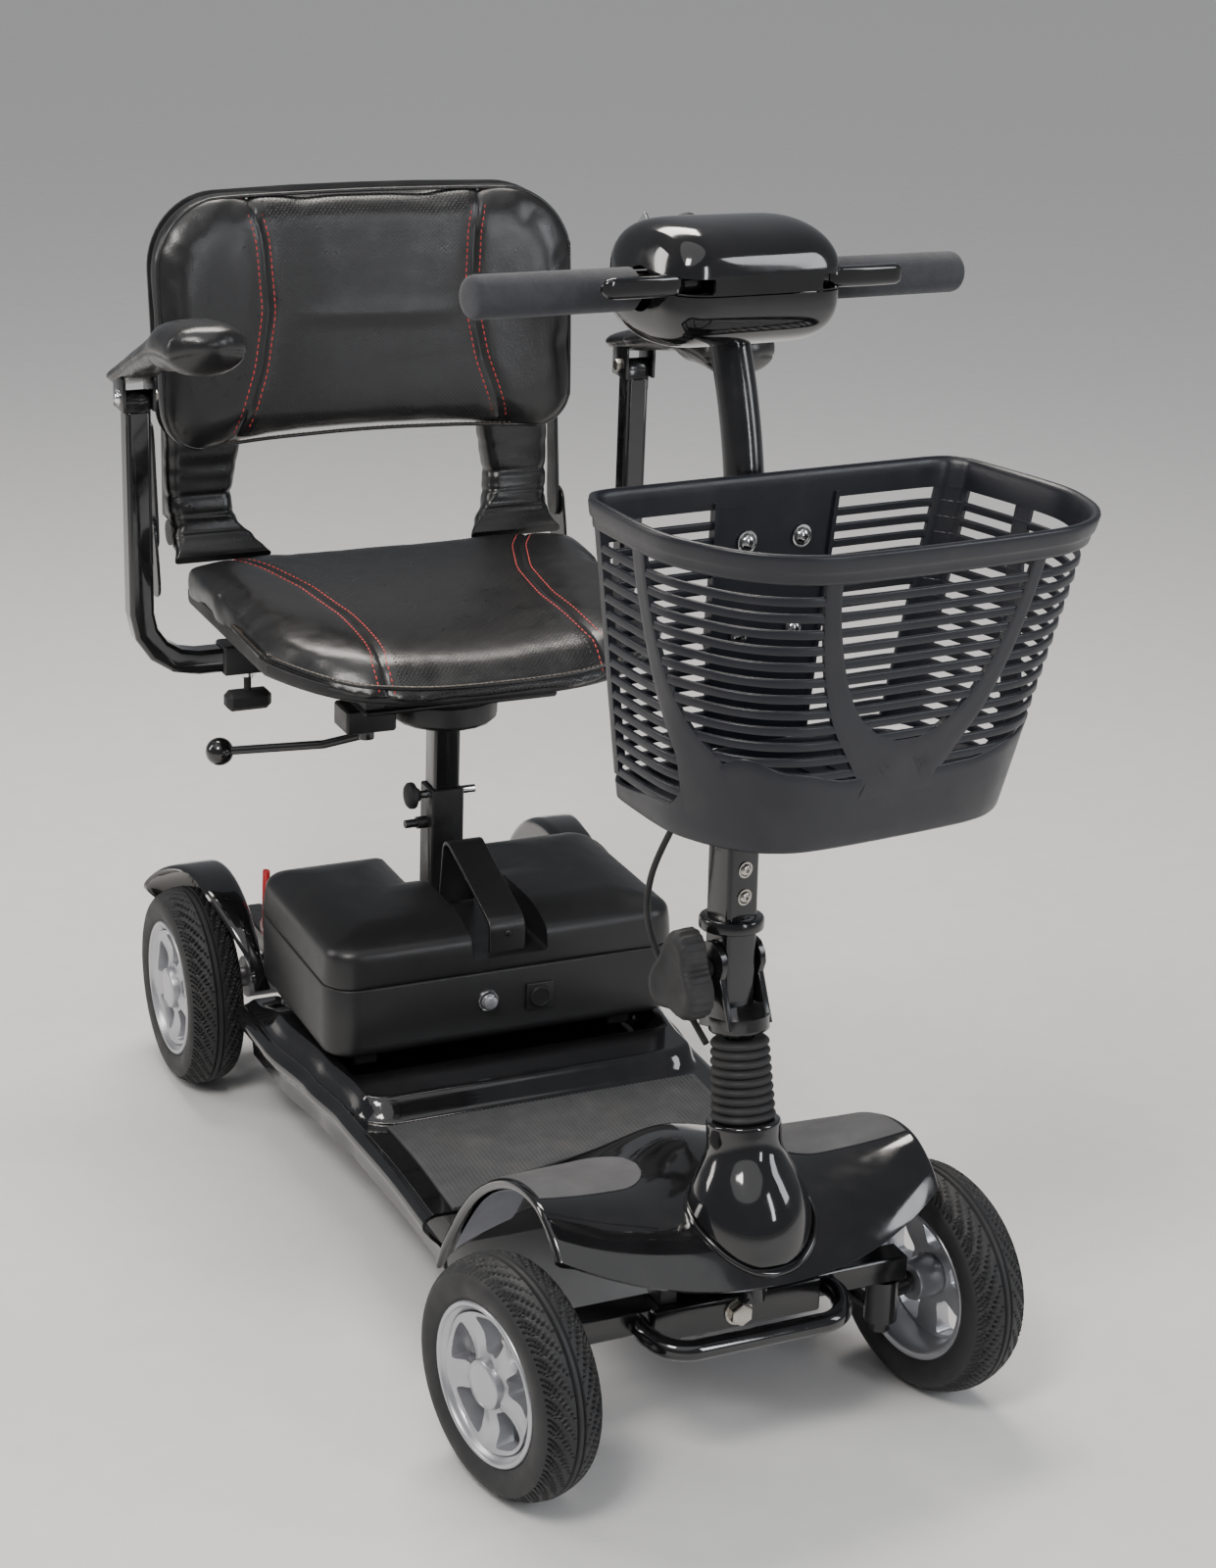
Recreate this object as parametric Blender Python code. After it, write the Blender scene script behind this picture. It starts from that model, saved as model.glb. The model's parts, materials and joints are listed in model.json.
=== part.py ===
"""A four-wheeled travel mobility scooter, in metres, +Z up.

It faces -Y, the rider's right is -X, and it stands on z = 0 with its origin under the middle of its
bounding box. Every piece is modelled as it lies with the tiller straight ahead. The empties sit on the
joint axes, and the last step turns the steered ones to the resting angle of the tiller.
Lengths along the scooter are stations: metres behind the front axle.
"""

import math

import bmesh
import bpy
from mathutils import Matrix, Quaternion, Vector

# ---------------------------------------------------------------- driving dimensions
FRONT_AXLE_Y = -0.3575
WHEELBASE = 0.783
WHEEL_R = 0.100
TYRE_WIDTH = 0.056
RIM_R = 0.0657
FRONT_TRACK = 0.392
REAR_TRACK = 0.426
KINGPIN_X = 0.145
AXLE_Z = WHEEL_R
STUB_R = 0.0060
BORE_R = 0.0066
GAP = 0.0003

STEER_REST = math.radians(11.1)
STEER_TILT = math.radians(12.0)
STEER_BASE_STATION = -0.009
STEER_BASE_Z = 0.291
STEER_ARM = 0.075
PIVOT_STATION = 0.024
PIVOT_Z = 0.405

DECK_TOP = 0.1215
DECK_LOW = 0.066
DECK_WALL = 0.004
MAT_THICK = 0.0035

POST_STATION = 0.645
POST_SIDE = 0.026
SLEEVE_SIDE = 0.033
SLEEVE_TOP = 0.339
PIN_Z = 0.331
SEAT_TRAVEL = 0.050

BATTERY_HALF = 0.176
BATTERY_FRONT = 0.466
BATTERY_REAR = 0.690
BATTERY_LOW = 0.1503
BATTERY_SEAM = 0.219
BATTERY_TOP = 0.266

BAR_STATION = 0.102
BAR_Z = 0.931
BAR_HALF = 0.228
BAR_R = 0.011
GRIP_R = 0.016

ARM_X = 0.257
ARM_STATION = 0.790
ARM_TUBE = 0.024
ARM_LOW_Z = 0.441
ARM_TOP_Z = 0.693


# ---------------------------------------------------------------- frame helpers
def at(x, station, z):
    """The point at a side offset, a station behind the front axle and a height."""
    return Vector((x, FRONT_AXLE_Y + station, z))


def steer_point(z):
    """The point of the tilted steering axis at height z."""
    return at(0.0, STEER_BASE_STATION + (z - STEER_BASE_Z) * math.tan(STEER_TILT), z)


STEER_AXIS = Vector((0.0, math.sin(STEER_TILT), math.cos(STEER_TILT)))
X_AXIS = Vector((1.0, 0.0, 0.0))
Y_AXIS = Vector((0.0, 1.0, 0.0))
Z_AXIS = Vector((0.0, 0.0, 1.0))


def clear_scene():
    for item in list(bpy.data.objects):
        bpy.data.objects.remove(item, do_unlink=True)


def paint(name, colour, roughness, metallic=0.0):
    """A Principled material with one colour, roughness and metallic value."""
    material = bpy.data.materials.new(name)
    material.use_nodes = True
    shader = material.node_tree.nodes["Principled BSDF"]
    shader.inputs["Base Color"].default_value = (*colour, 1.0)
    shader.inputs["Roughness"].default_value = roughness
    shader.inputs["Metallic"].default_value = metallic
    material.diffuse_color = (*colour, 1.0)
    return material


PIVOTS = {}


def pivot(name, point, parent=None):
    """An empty on a joint axis; its pieces are modelled in place and follow it."""
    empty = bpy.data.objects.new(name + "_axis", None)
    bpy.context.collection.objects.link(empty)
    if parent is not None:
        empty.parent = parent
        empty.matrix_parent_inverse = Matrix.Translation(PIVOTS[parent.name]).inverted()
    empty.location = point
    PIVOTS[empty.name] = Vector(point)
    return empty


def attach(piece, parent):
    """Make a piece modelled in place follow the empty on its joint axis."""
    if parent is not None:
        piece.parent = parent
        piece.matrix_parent_inverse = Matrix.Translation(PIVOTS[parent.name]).inverted()


def finish_mesh(name, bm, material, parent=None):
    """Turn a bmesh into a named object with smooth round faces and outward normals."""
    bmesh.ops.remove_doubles(bm, verts=bm.verts, dist=1e-6)
    bmesh.ops.recalc_face_normals(bm, faces=bm.faces)
    mesh = bpy.data.meshes.new(name)
    bm.to_mesh(mesh)
    bm.free()
    mesh.shade_smooth()
    mesh.set_sharp_from_angle(angle=math.radians(35))
    piece = bpy.data.objects.new(name, mesh)
    bpy.context.collection.objects.link(piece)
    piece.data.materials.append(material)
    attach(piece, parent)
    return piece


def combine(piece, bm, operation):
    """Join a solid to a piece, or cut it from the piece, with an exact Boolean."""
    tool = finish_mesh(piece.name + "_tool", bm, piece.data.materials[0])
    tool.hide_render = True
    tool.display_type = "WIRE"
    tool.parent = piece.parent
    tool.matrix_parent_inverse = piece.matrix_parent_inverse.copy()
    step = piece.modifiers.new(operation.lower(), "BOOLEAN")
    step.operation = operation
    step.solver = "EXACT"
    step.object = tool


def join(piece, *solids):
    for bm in solids:
        combine(piece, bm, "UNION")


def cut(piece, *solids):
    for bm in solids:
        combine(piece, bm, "DIFFERENCE")


# ---------------------------------------------------------------- solids
def loft(rings, bm=None):
    """A closed solid through rings of the same number of points, with flat ends."""
    bm = bm or bmesh.new()
    rows = [[bm.verts.new(point) for point in ring] for ring in rings]
    count = len(rows[0])
    for first, second in zip(rows, rows[1:]):
        for i in range(count):
            j = (i + 1) % count
            bm.faces.new((first[i], first[j], second[j], second[i]))
    bm.faces.new(list(reversed(rows[0])))
    bm.faces.new(rows[-1])
    return bm


def slab(lo, hi, bevel=0.0, steps=1):
    """A box between two corners, with its edges rounded by the bevel."""
    bm = bmesh.new()
    bmesh.ops.create_cube(bm, size=1.0)
    size = Vector(hi) - Vector(lo)
    bmesh.ops.scale(bm, vec=size, verts=bm.verts)
    bmesh.ops.translate(bm, vec=(Vector(hi) + Vector(lo)) / 2, verts=bm.verts)
    if bevel:
        bmesh.ops.bevel(
            bm, geom=list(bm.edges), offset=bevel, segments=steps, profile=0.5, affect="EDGES"
        )
    return bm


def block(x0, x1, s0, s1, z0, z1, bevel=0.0, steps=1):
    """A box given by its side, station and height ranges."""
    return slab(at(x0, s0, z0), at(x1, s1, z1), bevel, steps)


def side_vector(direction):
    """A unit vector square to a direction."""
    other = X_AXIS if abs(direction.x) < 0.9 else Y_AXIS
    return direction.cross(other).normalized()


def turned(profile, start, direction, steps=18):
    """A solid turned round an axis from (radius, distance) points; radius 0 is a pole."""
    bm = bmesh.new()
    axis = direction.normalized()
    side = side_vector(axis)
    over = axis.cross(side)
    rows = []
    for radius, distance in profile:
        centre = start + axis * distance
        if radius == 0.0:
            rows.append([bm.verts.new(centre)])
            continue
        row = []
        for i in range(steps):
            turn = 2 * math.pi * i / steps
            row.append(bm.verts.new(centre + (side * math.cos(turn) + over * math.sin(turn)) * radius))
        rows.append(row)
    closed = len(rows[0]) > 1
    pairs = zip(rows, rows[1:] + rows[:1]) if closed else zip(rows, rows[1:])
    for first, second in pairs:
        for i in range(steps):
            j = (i + 1) % steps
            if len(first) == 1:
                bm.faces.new((first[0], second[i], second[j]))
            elif len(second) == 1:
                bm.faces.new((first[i], first[j], second[0]))
            else:
                bm.faces.new((first[i], first[j], second[j], second[i]))
    return bm


def rod(start, end, radius, steps=12):
    """A plain round bar between two points."""
    length = (end - start).length
    profile = [(0.0, 0.0), (radius, 0.0), (radius, length), (0.0, length)]
    return turned(profile, start, end - start, steps)


def stepped(start, direction, steps_along, sides=12):
    """A solid shaft with shoulders, from (radius, length) pairs."""
    profile, reach = [(0.0, 0.0)], 0.0
    for radius, length in steps_along:
        profile += [(radius, reach), (radius, reach + length)]
        reach += length
    return turned(profile + [(0.0, reach)], start, direction, sides)


def hexagon(start, end, radius):
    return rod(start, end, radius, 6)


def tube(start, end, outer, inner, steps=14):
    """A round tube, open at both ends."""
    length = (end - start).length
    profile = [(outer, 0.0), (outer, length), (inner, length), (inner, 0.0)]
    return turned(profile, start, end - start, steps)


def oval(points, half_a, half_b):
    """Points round an ellipse, for sweeping."""
    turns = [2 * math.pi * i / points for i in range(points)]
    return [(half_a * math.cos(t), half_b * math.sin(t)) for t in turns]


def square(side, corner):
    """A square section with clipped corners, for sweeping."""
    half = side / 2
    inner = half - corner
    return [
        (half, -inner), (half, inner), (inner, half), (-inner, half),
        (-half, inner), (-half, -inner), (-inner, -half), (inner, -half),
    ]


def swept(points, section, side):
    """A section carried along a path; its first axis stays as near as it can to the side vector."""
    rings = []
    last = len(points) - 1
    for i, point in enumerate(points):
        ahead = points[min(i + 1, last)] - points[max(i - 1, 0)]
        ahead.normalize()
        first = (side - ahead * side.dot(ahead)).normalized()
        second = ahead.cross(first)
        rings.append([point + first * a + second * b for a, b in section])
    return loft(rings)


def rounded_path(corners, radius, steps=5):
    """A path through corner points, with an arc in place of each inner corner."""
    path = [corners[0]]
    for before, corner, after in zip(corners, corners[1:], corners[2:]):
        arrive = (corner - before).normalized()
        leave = (after - corner).normalized()
        bend = arrive.angle(leave)
        reach = radius * math.tan(bend / 2)
        centre = corner + (leave - arrive).normalized() * (radius / math.cos(bend / 2))
        spoke = corner - arrive * reach - centre
        normal = arrive.cross(leave).normalized()
        for i in range(steps + 1):
            path.append(centre + Quaternion(normal, bend * i / steps) @ spoke)
    path.append(corners[-1])
    return path


def smooth_path(points, spacing):
    """Evenly spaced points on one smooth curve through a route's own points."""
    fine = []
    count = len(points)
    for i in range(count - 1):
        p0 = points[max(i - 1, 0)]
        p1, p2 = points[i], points[i + 1]
        p3 = points[min(i + 2, count - 1)]
        for j in range(20):
            t = j / 20
            fine.append(
                p1 * (2 * t**3 - 3 * t**2 + 1)
                + (p2 - p0) * 0.5 * (t**3 - 2 * t**2 + t)
                + p2 * (3 * t**2 - 2 * t**3)
                + (p3 - p1) * 0.5 * (t**3 - t**2)
            )
    fine.append(points[-1])
    total = sum((b - a).length for a, b in zip(fine, fine[1:]))
    pieces = round(total / spacing)
    path, travelled, target = [fine[0]], 0.0, total / pieces
    for a, b in zip(fine, fine[1:]):
        length = (b - a).length
        while travelled + length >= target - 1e-9 and len(path) < pieces:
            path.append(a.lerp(b, (target - travelled) / length))
            target += total / pieces
        travelled += length
    path.append(fine[-1])
    return path


def plate(outline, lo, hi, along):
    """A flat outline extruded between two offsets; along is X, S or Z."""
    def place(pair, offset):
        a, b = pair
        if along == "X":
            return at(offset, a, b)
        if along == "S":
            return at(a, offset, b)
        return at(a, b, offset)
    return loft([[place(pair, lo) for pair in outline], [place(pair, hi) for pair in outline]])


def rounded_outline(half_x, y0, y1, corner, steps=4):
    """A rectangle outline from y0 to y1 with round corners."""
    outline = []
    centres = [
        (half_x - corner, y1 - corner, 0), (-half_x + corner, y1 - corner, 90),
        (-half_x + corner, y0 + corner, 180), (half_x - corner, y0 + corner, 270),
    ]
    for cx, cy, start in centres:
        for i in range(steps + 1):
            turn = math.radians(start + 90 * i / steps)
            outline.append((cx + corner * math.cos(turn), cy + corner * math.sin(turn)))
    return outline


def blend_steps(pairs, value):
    """The value read smoothly between listed (position, value) pairs."""
    if value <= pairs[0][0]:
        return pairs[0][1]
    for (p0, v0), (p1, v1) in zip(pairs, pairs[1:]):
        if value <= p1:
            t = (value - p0) / (p1 - p0)
            t = t * t * (3 - 2 * t)
            return v0 + (v1 - v0) * t
    return pairs[-1][1]


# ---------------------------------------------------------------- materials
clear_scene()
GLOSS_BLACK = paint("gloss_black", (0.010, 0.010, 0.011), 0.12)
FRAME_BLACK = paint("frame_black", (0.014, 0.014, 0.015), 0.35)
SATIN_PLASTIC = paint("satin_plastic", (0.022, 0.022, 0.024), 0.45)
GREY_PLASTIC = paint("grey_plastic", (0.045, 0.048, 0.055), 0.55)
RUBBER = paint("rubber", (0.020, 0.020, 0.021), 0.75)
MAT_RUBBER = paint("mat_rubber", (0.060, 0.062, 0.066), 0.85)
FOAM = paint("foam", (0.055, 0.056, 0.062), 0.80)
LEATHERETTE = paint("leatherette", (0.016, 0.016, 0.018), 0.42)
SILVER = paint("silver_paint", (0.62, 0.63, 0.65), 0.32, 0.85)
STEEL = paint("bright_steel", (0.60, 0.60, 0.61), 0.22, 1.0)
CAST_ALLOY = paint("cast_alloy", (0.30, 0.30, 0.31), 0.50, 0.9)
RED = paint("red_plastic", (0.55, 0.02, 0.03), 0.40)


# ---------------------------------------------------------------- wheels
def tyre_profile():
    """The closed section of a tyre, as (radius, distance from its middle) points."""
    half = TYRE_WIDTH / 2
    crown = [(WHEEL_R, 0.0), (WHEEL_R - 0.0028, 0.50 * half), (WHEEL_R - 0.0100, 0.86 * half)]
    wall = [(WHEEL_R - 0.0200, half), (RIM_R + 0.0006, 0.82 * half)]
    outer = crown + wall
    inner = [(radius, -offset) for radius, offset in reversed(outer) if offset > 0.0]
    return outer + inner


def rim_profile(outward):
    """The section of a rim with a blind hub bore; outward faces the hub cap."""
    half = 0.82 * TYRE_WIDTH / 2
    points = [
        (0.0, 0.018), (BORE_R, 0.018), (BORE_R, -0.022), (0.0170, -0.022), (0.0185, 0.004),
        (0.0500, 0.006), (0.0520, -half), (RIM_R, -half), (RIM_R, half - 0.001),
        (0.0610, 0.0272), (0.0530, 0.0150), (0.0215, 0.0175),
        (0.0205, 0.0262), (0.0, 0.0272),
    ]
    return [(radius, offset * outward) for radius, offset in points]


def rim_windows(centre, outward):
    """Five openings between the spokes, as one cutter."""
    bm = bmesh.new()
    for k in range(5):
        middle = math.radians(90 + 72 * k)
        inner_half, outer_half = math.radians(13), math.radians(23)
        corners = [(0.0275, -inner_half), (0.0490, -outer_half), (0.0490, outer_half), (0.0275, inner_half)]
        rings = []
        for offset in (-0.004, 0.024):
            rings.append([
                centre + Vector((offset * outward, r * math.cos(middle + a), r * math.sin(middle + a)))
                for r, a in corners
            ])
        loft(rings, bm)
    return bm


def make_wheel(label, side, track, station, parent):
    """One tyre and its rim; side is -1 on the rider's right."""
    centre = at(side * track / 2, station, AXLE_Z)
    spin = pivot("wheel_" + label, centre, parent)
    finish_mesh("tyre_" + label, turned(tyre_profile(), centre, X_AXIS, 28), RUBBER, spin)
    rim = finish_mesh("rim_" + label, turned(rim_profile(side), centre, X_AXIS, 20), SILVER, spin)
    cut(rim, rim_windows(centre, side))
    return spin


# ---------------------------------------------------------------- front axle and steering
BEAM_LOW, BEAM_HIGH, BEAM_HALF = 0.1135, 0.1365, 0.0125
ARM_EYE_Z = 0.0900


def make_front_axle():
    beam = finish_mesh(
        "front_axle_beam", block(-0.161, 0.161, -BEAM_HALF, BEAM_HALF, BEAM_LOW, BEAM_HIGH, 0.002),
        FRAME_BLACK)
    join(beam, block(-0.076, 0.076, -0.0185, 0.0095, 0.1055, 0.1365, 0.002))
    for side in (-1, 1):
        x = side * KINGPIN_X
        join(beam, rod(at(x, 0, 0.0700), at(x, 0, BEAM_LOW + 0.004), 0.0048))
        join(beam, hexagon(at(x, 0, 0.0640), at(x, 0, 0.0712), 0.0085))
    join(beam, rod(at(0, -0.0200, 0.1220), at(0, -0.0180, 0.1220), 0.0115))
    join(beam, hexagon(at(0, -0.0270, 0.1220), at(0, -0.0192, 0.1220), 0.0098))


def make_bumper():
    """A bent round bar in front of the axle beam, on two tabs."""
    corners = [
        at(-0.086, -0.0128, 0.1240), at(-0.086, -0.0260, 0.1240), at(-0.074, -0.0600, 0.1215),
        at(0.074, -0.0600, 0.1215), at(0.086, -0.0260, 0.1240), at(0.086, -0.0128, 0.1240),
    ]
    bar = swept(rounded_path(corners, 0.014, 3), oval(8, 0.0085, 0.0085), Z_AXIS)
    finish_mesh("front_bumper", bar, GLOSS_BLACK)


def make_knuckle(label, side):
    """A kingpin barrel with its stub axle and steering arm."""
    x = side * KINGPIN_X
    empty = pivot("knuckle_" + label, at(x, 0, AXLE_Z))
    barrel = tube(at(x, 0, 0.0745), at(x, 0, BEAM_LOW - GAP), 0.0140, 0.0052)
    knuckle = finish_mesh("knuckle_" + label, barrel, FRAME_BLACK, empty)
    hub = side * (FRONT_TRACK / 2)
    collar = side * (hub - x) - 0.0335
    join(knuckle, stepped(at(x + side * 0.0100, 0, AXLE_Z), X_AXIS * side, [(0.0093, collar), (STUB_R, 0.0335)]))
    join(knuckle, block(x - 0.007, x + 0.007, 0.0100, STEER_ARM + 0.008, 0.0780, 0.0840, 0.001))
    join(knuckle, rod(at(x, STEER_ARM, 0.0830), at(x, STEER_ARM, 0.0960), 0.0040, 12))
    return empty


def make_tie_rod(label, side, knuckle):
    """A rod from the steering arm to the stem's lever; its inner eye is wide, the opened pivot."""
    x = side * KINGPIN_X
    outer = at(x, STEER_ARM, ARM_EYE_Z)
    inner_z = 0.0990 if side > 0 else 0.0860
    lever = steer_point(0.152)
    inner = Vector((0.0, lever.y + STEER_ARM * math.cos(STEER_TILT), inner_z))
    empty = pivot("tie_rod_" + label, outer, knuckle)
    eye = tube(outer - Z_AXIS * 0.0040, outer + Z_AXIS * 0.0040, 0.0095, 0.0044, 16)
    piece = finish_mesh("tie_rod_" + label, eye, FRAME_BLACK, empty)
    along = (inner - outer).normalized()
    join(piece, rod(outer + along * 0.0070, inner - along * 0.0158, 0.0032, 10))
    join(piece, tube(inner - Z_AXIS * 0.0030, inner + Z_AXIS * 0.0030, 0.0180, 0.0135, 18))


def make_steering():
    """The stem with its fork and lever; the rubber boot stays on the body's cowl."""
    empty = pivot("steering", steer_point(STEER_BASE_Z))
    low, top = steer_point(0.1440), steer_point(0.3640)
    stem = finish_mesh("steering_stem", rod(low, top, 0.0110, 16), FRAME_BLACK, empty)
    lever = steer_point(0.152)
    back = Vector((0.0, math.cos(STEER_TILT), -math.sin(STEER_TILT)))
    ring = [(-0.010, -0.008), (0.010, -0.008), (0.0095, STEER_ARM - 0.002), (0.004, STEER_ARM + 0.007),
            (-0.004, STEER_ARM + 0.007), (-0.0095, STEER_ARM - 0.002)]
    rings = [[lever + X_AXIS * a + back * b + STEER_AXIS * h for a, b in ring] for h in (-0.003, 0.003)]
    join(stem, loft(rings))
    end = lever + back * STEER_ARM
    join(stem, rod(Vector((0, end.y, 0.0790)), Vector((0, end.y, end.z + 0.002)), 0.0050, 14))
    foot = steer_point(0.3615)
    join(stem, turned([(0, 0), (0.0235, 0), (0.0245, 0.002), (0.0245, 0.012), (0, 0.012)], foot, STEER_AXIS, 18))
    for side in (-1, 1):
        x0, x1 = side * 0.0163, side * 0.0215
        cheek = fork_cheek()
        join(stem, plate(cheek, min(x0, x1), max(x0, x1), "X"))
    return empty, stem


def fork_cheek():
    """The side outline of a fork cheek, round about the fold pivot."""
    outline = [(-0.0080, 0.3690), (0.0300, 0.3600)]
    for degrees in range(-30, 211, 30):
        turn = math.radians(degrees)
        outline.append((PIVOT_STATION + 0.0175 * math.cos(turn), PIVOT_Z + 0.010 + 0.0175 * math.sin(turn)))
    return outline


def make_boot():
    """A ribbed rubber boot round the stem, from the cowl's neck to the fork."""
    base = steer_point(STEER_BASE_Z)
    profile = []
    ribs, height = 9, 0.066
    for i in range(ribs):
        wide = 0.0262 - 0.0030 * i / ribs
        start = height * i / ribs
        profile += [(wide - 0.0030, start), (wide, start + 0.0036)]
    profile += [(0.0215, height), (0.0120, height), (0.0120, 0.0)]
    return finish_mesh("steering_boot", turned(profile, base, STEER_AXIS, 14), RUBBER)


# ---------------------------------------------------------------- deck and body
def make_deck_frame():
    """Two rails with cross members, a neck and the head tube."""
    frame = finish_mesh("deck_frame", block(-0.1425, 0.1425, 0.2180, 0.243, 0.086, 0.111, 0.002), FRAME_BLACK)
    for side in (-1, 1):
        x0, x1 = sorted((side * 0.1175, side * 0.1425))
        join(frame, block(x0, x1, 0.222, 0.640, 0.0862, 0.1108, 0.002))
        y0, y1 = sorted((side * 0.052, side * 0.068))
        join(frame, block(y0, y1, -0.0120, 0.0120, BEAM_HIGH + GAP, 0.164, 0.001))
    join(frame, block(-0.140, 0.140, 0.440, 0.462, 0.0864, 0.1106, 0.002))
    join(frame, block(-0.140, 0.140, 0.610, 0.634, 0.0864, 0.1106, 0.002))
    join(frame, block(-0.070, 0.070, -0.0125, 0.0125, 0.157, 0.166, 0.002))
    neck = [at(0, -0.030, 0.1685), at(0, 0.105, 0.1685), at(0, 0.175, 0.0985), at(0, 0.230, 0.0985)]
    join(frame, swept(rounded_path(neck, 0.030, 3), square(0.026, 0.003), X_AXIS))
    join(frame, rod(steer_point(0.158), steer_point(0.266), 0.0190, 16))
    cut(frame, rod(steer_point(0.100), steer_point(0.320), 0.0116, 19))


def deck_half_width(station):
    return blend_steps([(0.150, 0.190), (0.215, 0.182), (0.300, 0.181), (0.430, 0.185),
                        (0.500, 0.192), (0.590, 0.203), (0.700, 0.205)], station)


def deck_ring(station, top, low, inset, tuck):
    """The outer outline of the deck shell at one station: a rounded inverted U, closed below."""
    half = deck_half_width(station) - inset
    lower = half - tuck
    right = [(half - 0.016, top), (half - 0.005, top - 0.004), (half, top - 0.014),
             (lower, (top + DECK_LOW) / 2 - inset / 2), (lower - 0.003, low)]
    left = [(-x, z) for x, z in reversed(right)]
    return [at(x, station, z) for x, z in right + left]


def make_deck_shell():
    """A moulded cover over the deck frame, open below, with a raised rear step."""
    stations = [0.2170, 0.240, 0.300, 0.385, 0.400, 0.412, 0.456, 0.462, 0.560, 0.640, 0.674]

    def top(station):
        rise = blend_steps([(0.385, 0.0), (0.404, 0.019), (0.455, 0.019), (0.463, 0.0)], station)
        return DECK_TOP + rise

    outer = [deck_ring(s, top(s), DECK_LOW, 0.0, 0.018) for s in stations]
    shell = finish_mesh("deck_shell", loft(outer), GLOSS_BLACK)
    inner_stations = [0.207] + stations[1:-1] + [0.684]
    inner = [deck_ring(s, top(s) - DECK_WALL, DECK_LOW - 0.010, DECK_WALL, 0.018) for s in inner_stations]
    cut(shell, loft(inner))
    for side in (-1, 1):
        x0, x1 = sorted((side * 0.119, side * 0.141))
        cut(shell, block(x0, x1, 0.5985, 0.6355, 0.100, 0.140))


def make_deck_mat():
    """The ribbed rubber mat that lies on the deck."""
    stations = [0.2170, 0.240, 0.300, 0.340, 0.378]
    rings = []
    for s in stations:
        half = deck_half_width(s) - blend_steps([(0.192, 0.028), (0.378, 0.030)], s)
        low, high = DECK_TOP + GAP, DECK_TOP + MAT_THICK
        rings.append([at(half, s, low), at(half, s, high - 0.001), at(half - 0.002, s, high),
                      at(-half + 0.002, s, high), at(-half, s, high - 0.001), at(-half, s, low)])
    finish_mesh("deck_mat", loft(rings), MAT_RUBBER)


FAIRING_HALF = 0.170
FAIRING_WALL = 0.0036
COWL_GAP = 0.0010
FAIRING_SIDE = [(0.214, 0.078), (0.200, 0.108), (0.176, 0.142), (0.140, 0.182), (0.095, 0.216),
                (0.050, 0.236), (0.010, 0.240), (-0.020, 0.228), (-0.037, 0.212)]
FAIRING_MIDDLE = [(0.2135, 0.1265), (0.192, 0.136), (0.168, 0.168), (0.145, 0.198), (0.100, 0.213),
                  (0.055, 0.221), (0.005, 0.223), (-0.050, 0.212), (-0.088, 0.184)]
TUNNEL_RISE = [0.0, 0.0, 0.004, 0.012, 0.014, 0.010, 0.004, 0.0, 0.0]


def fairing_point(x, index, drop):
    """A point of the fairing at side offset x on its profile, lowered square to it by drop."""
    share = min(abs(x) / FAIRING_HALF, 1.0)
    weight = share**2.2
    s0, z0 = FAIRING_MIDDLE[index]
    s1, z1 = FAIRING_SIDE[index]
    station = s0 + (s1 - s0) * weight
    height = z0 + (z1 - z0) * weight + TUNNEL_RISE[index] * math.exp(-((x / 0.045) ** 2))
    before = FAIRING_MIDDLE[max(index - 1, 0)]
    after = FAIRING_MIDDLE[min(index + 1, len(FAIRING_MIDDLE) - 1)]
    run = Vector((after[0] - before[0], after[1] - before[1])).normalized()
    return at(x, station - run.y * drop, height + run.x * drop)


def fairing_columns():
    """Side offsets of the fairing's profiles, closer together towards the arch lips."""
    half = [0.0, 0.14, 0.30, 0.50, 0.70, 0.87, 1.0]
    return [-c * FAIRING_HALF for c in reversed(half[1:])] + [c * FAIRING_HALF for c in half]


def make_fairing():
    """The winged front cover over both wheels, with a hole for the head tube."""
    count = len(FAIRING_SIDE)
    rings = []
    for x in fairing_columns():
        upper = [fairing_point(x, i, 0.0) for i in range(count)]
        lower = [fairing_point(x, i, FAIRING_WALL) for i in reversed(range(count))]
        rings.append(upper + lower)
    fairing = finish_mesh("front_fairing", loft(rings), GLOSS_BLACK)
    cut(fairing, rod(steer_point(0.140), steer_point(0.300), 0.0350, 18))


def below_fairing():
    """Everything under the fairing's upper face, as a cutter."""
    count = len(FAIRING_SIDE)
    rings = []
    for x in fairing_columns():
        upper = [fairing_point(x, i, -COWL_GAP) for i in range(count)]
        lower = [Vector((point.x, point.y, 0.02)) for point in reversed(upper)]
        rings.append(upper + lower)
    return loft(rings)


def make_cowl():
    """The bell-shaped cowl round the head tube; the boot stands on its neck."""
    base = steer_point(0.1900)
    outer = [(0.0500, 0.000), (0.0510, 0.024), (0.0490, 0.038), (0.0430, 0.056),
             (0.0345, 0.073), (0.0300, 0.081), (0.0302, 0.1030)]
    inner = [(radius - 0.0030, distance) for radius, distance in reversed(outer[:-1])]
    profile = outer + [(0.0205, 0.1030), (0.0205, 0.0980)] + inner
    cowl = finish_mesh("column_cowl", turned(profile, base, STEER_AXIS, 20), GLOSS_BLACK)
    cut(cowl, below_fairing())


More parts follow.
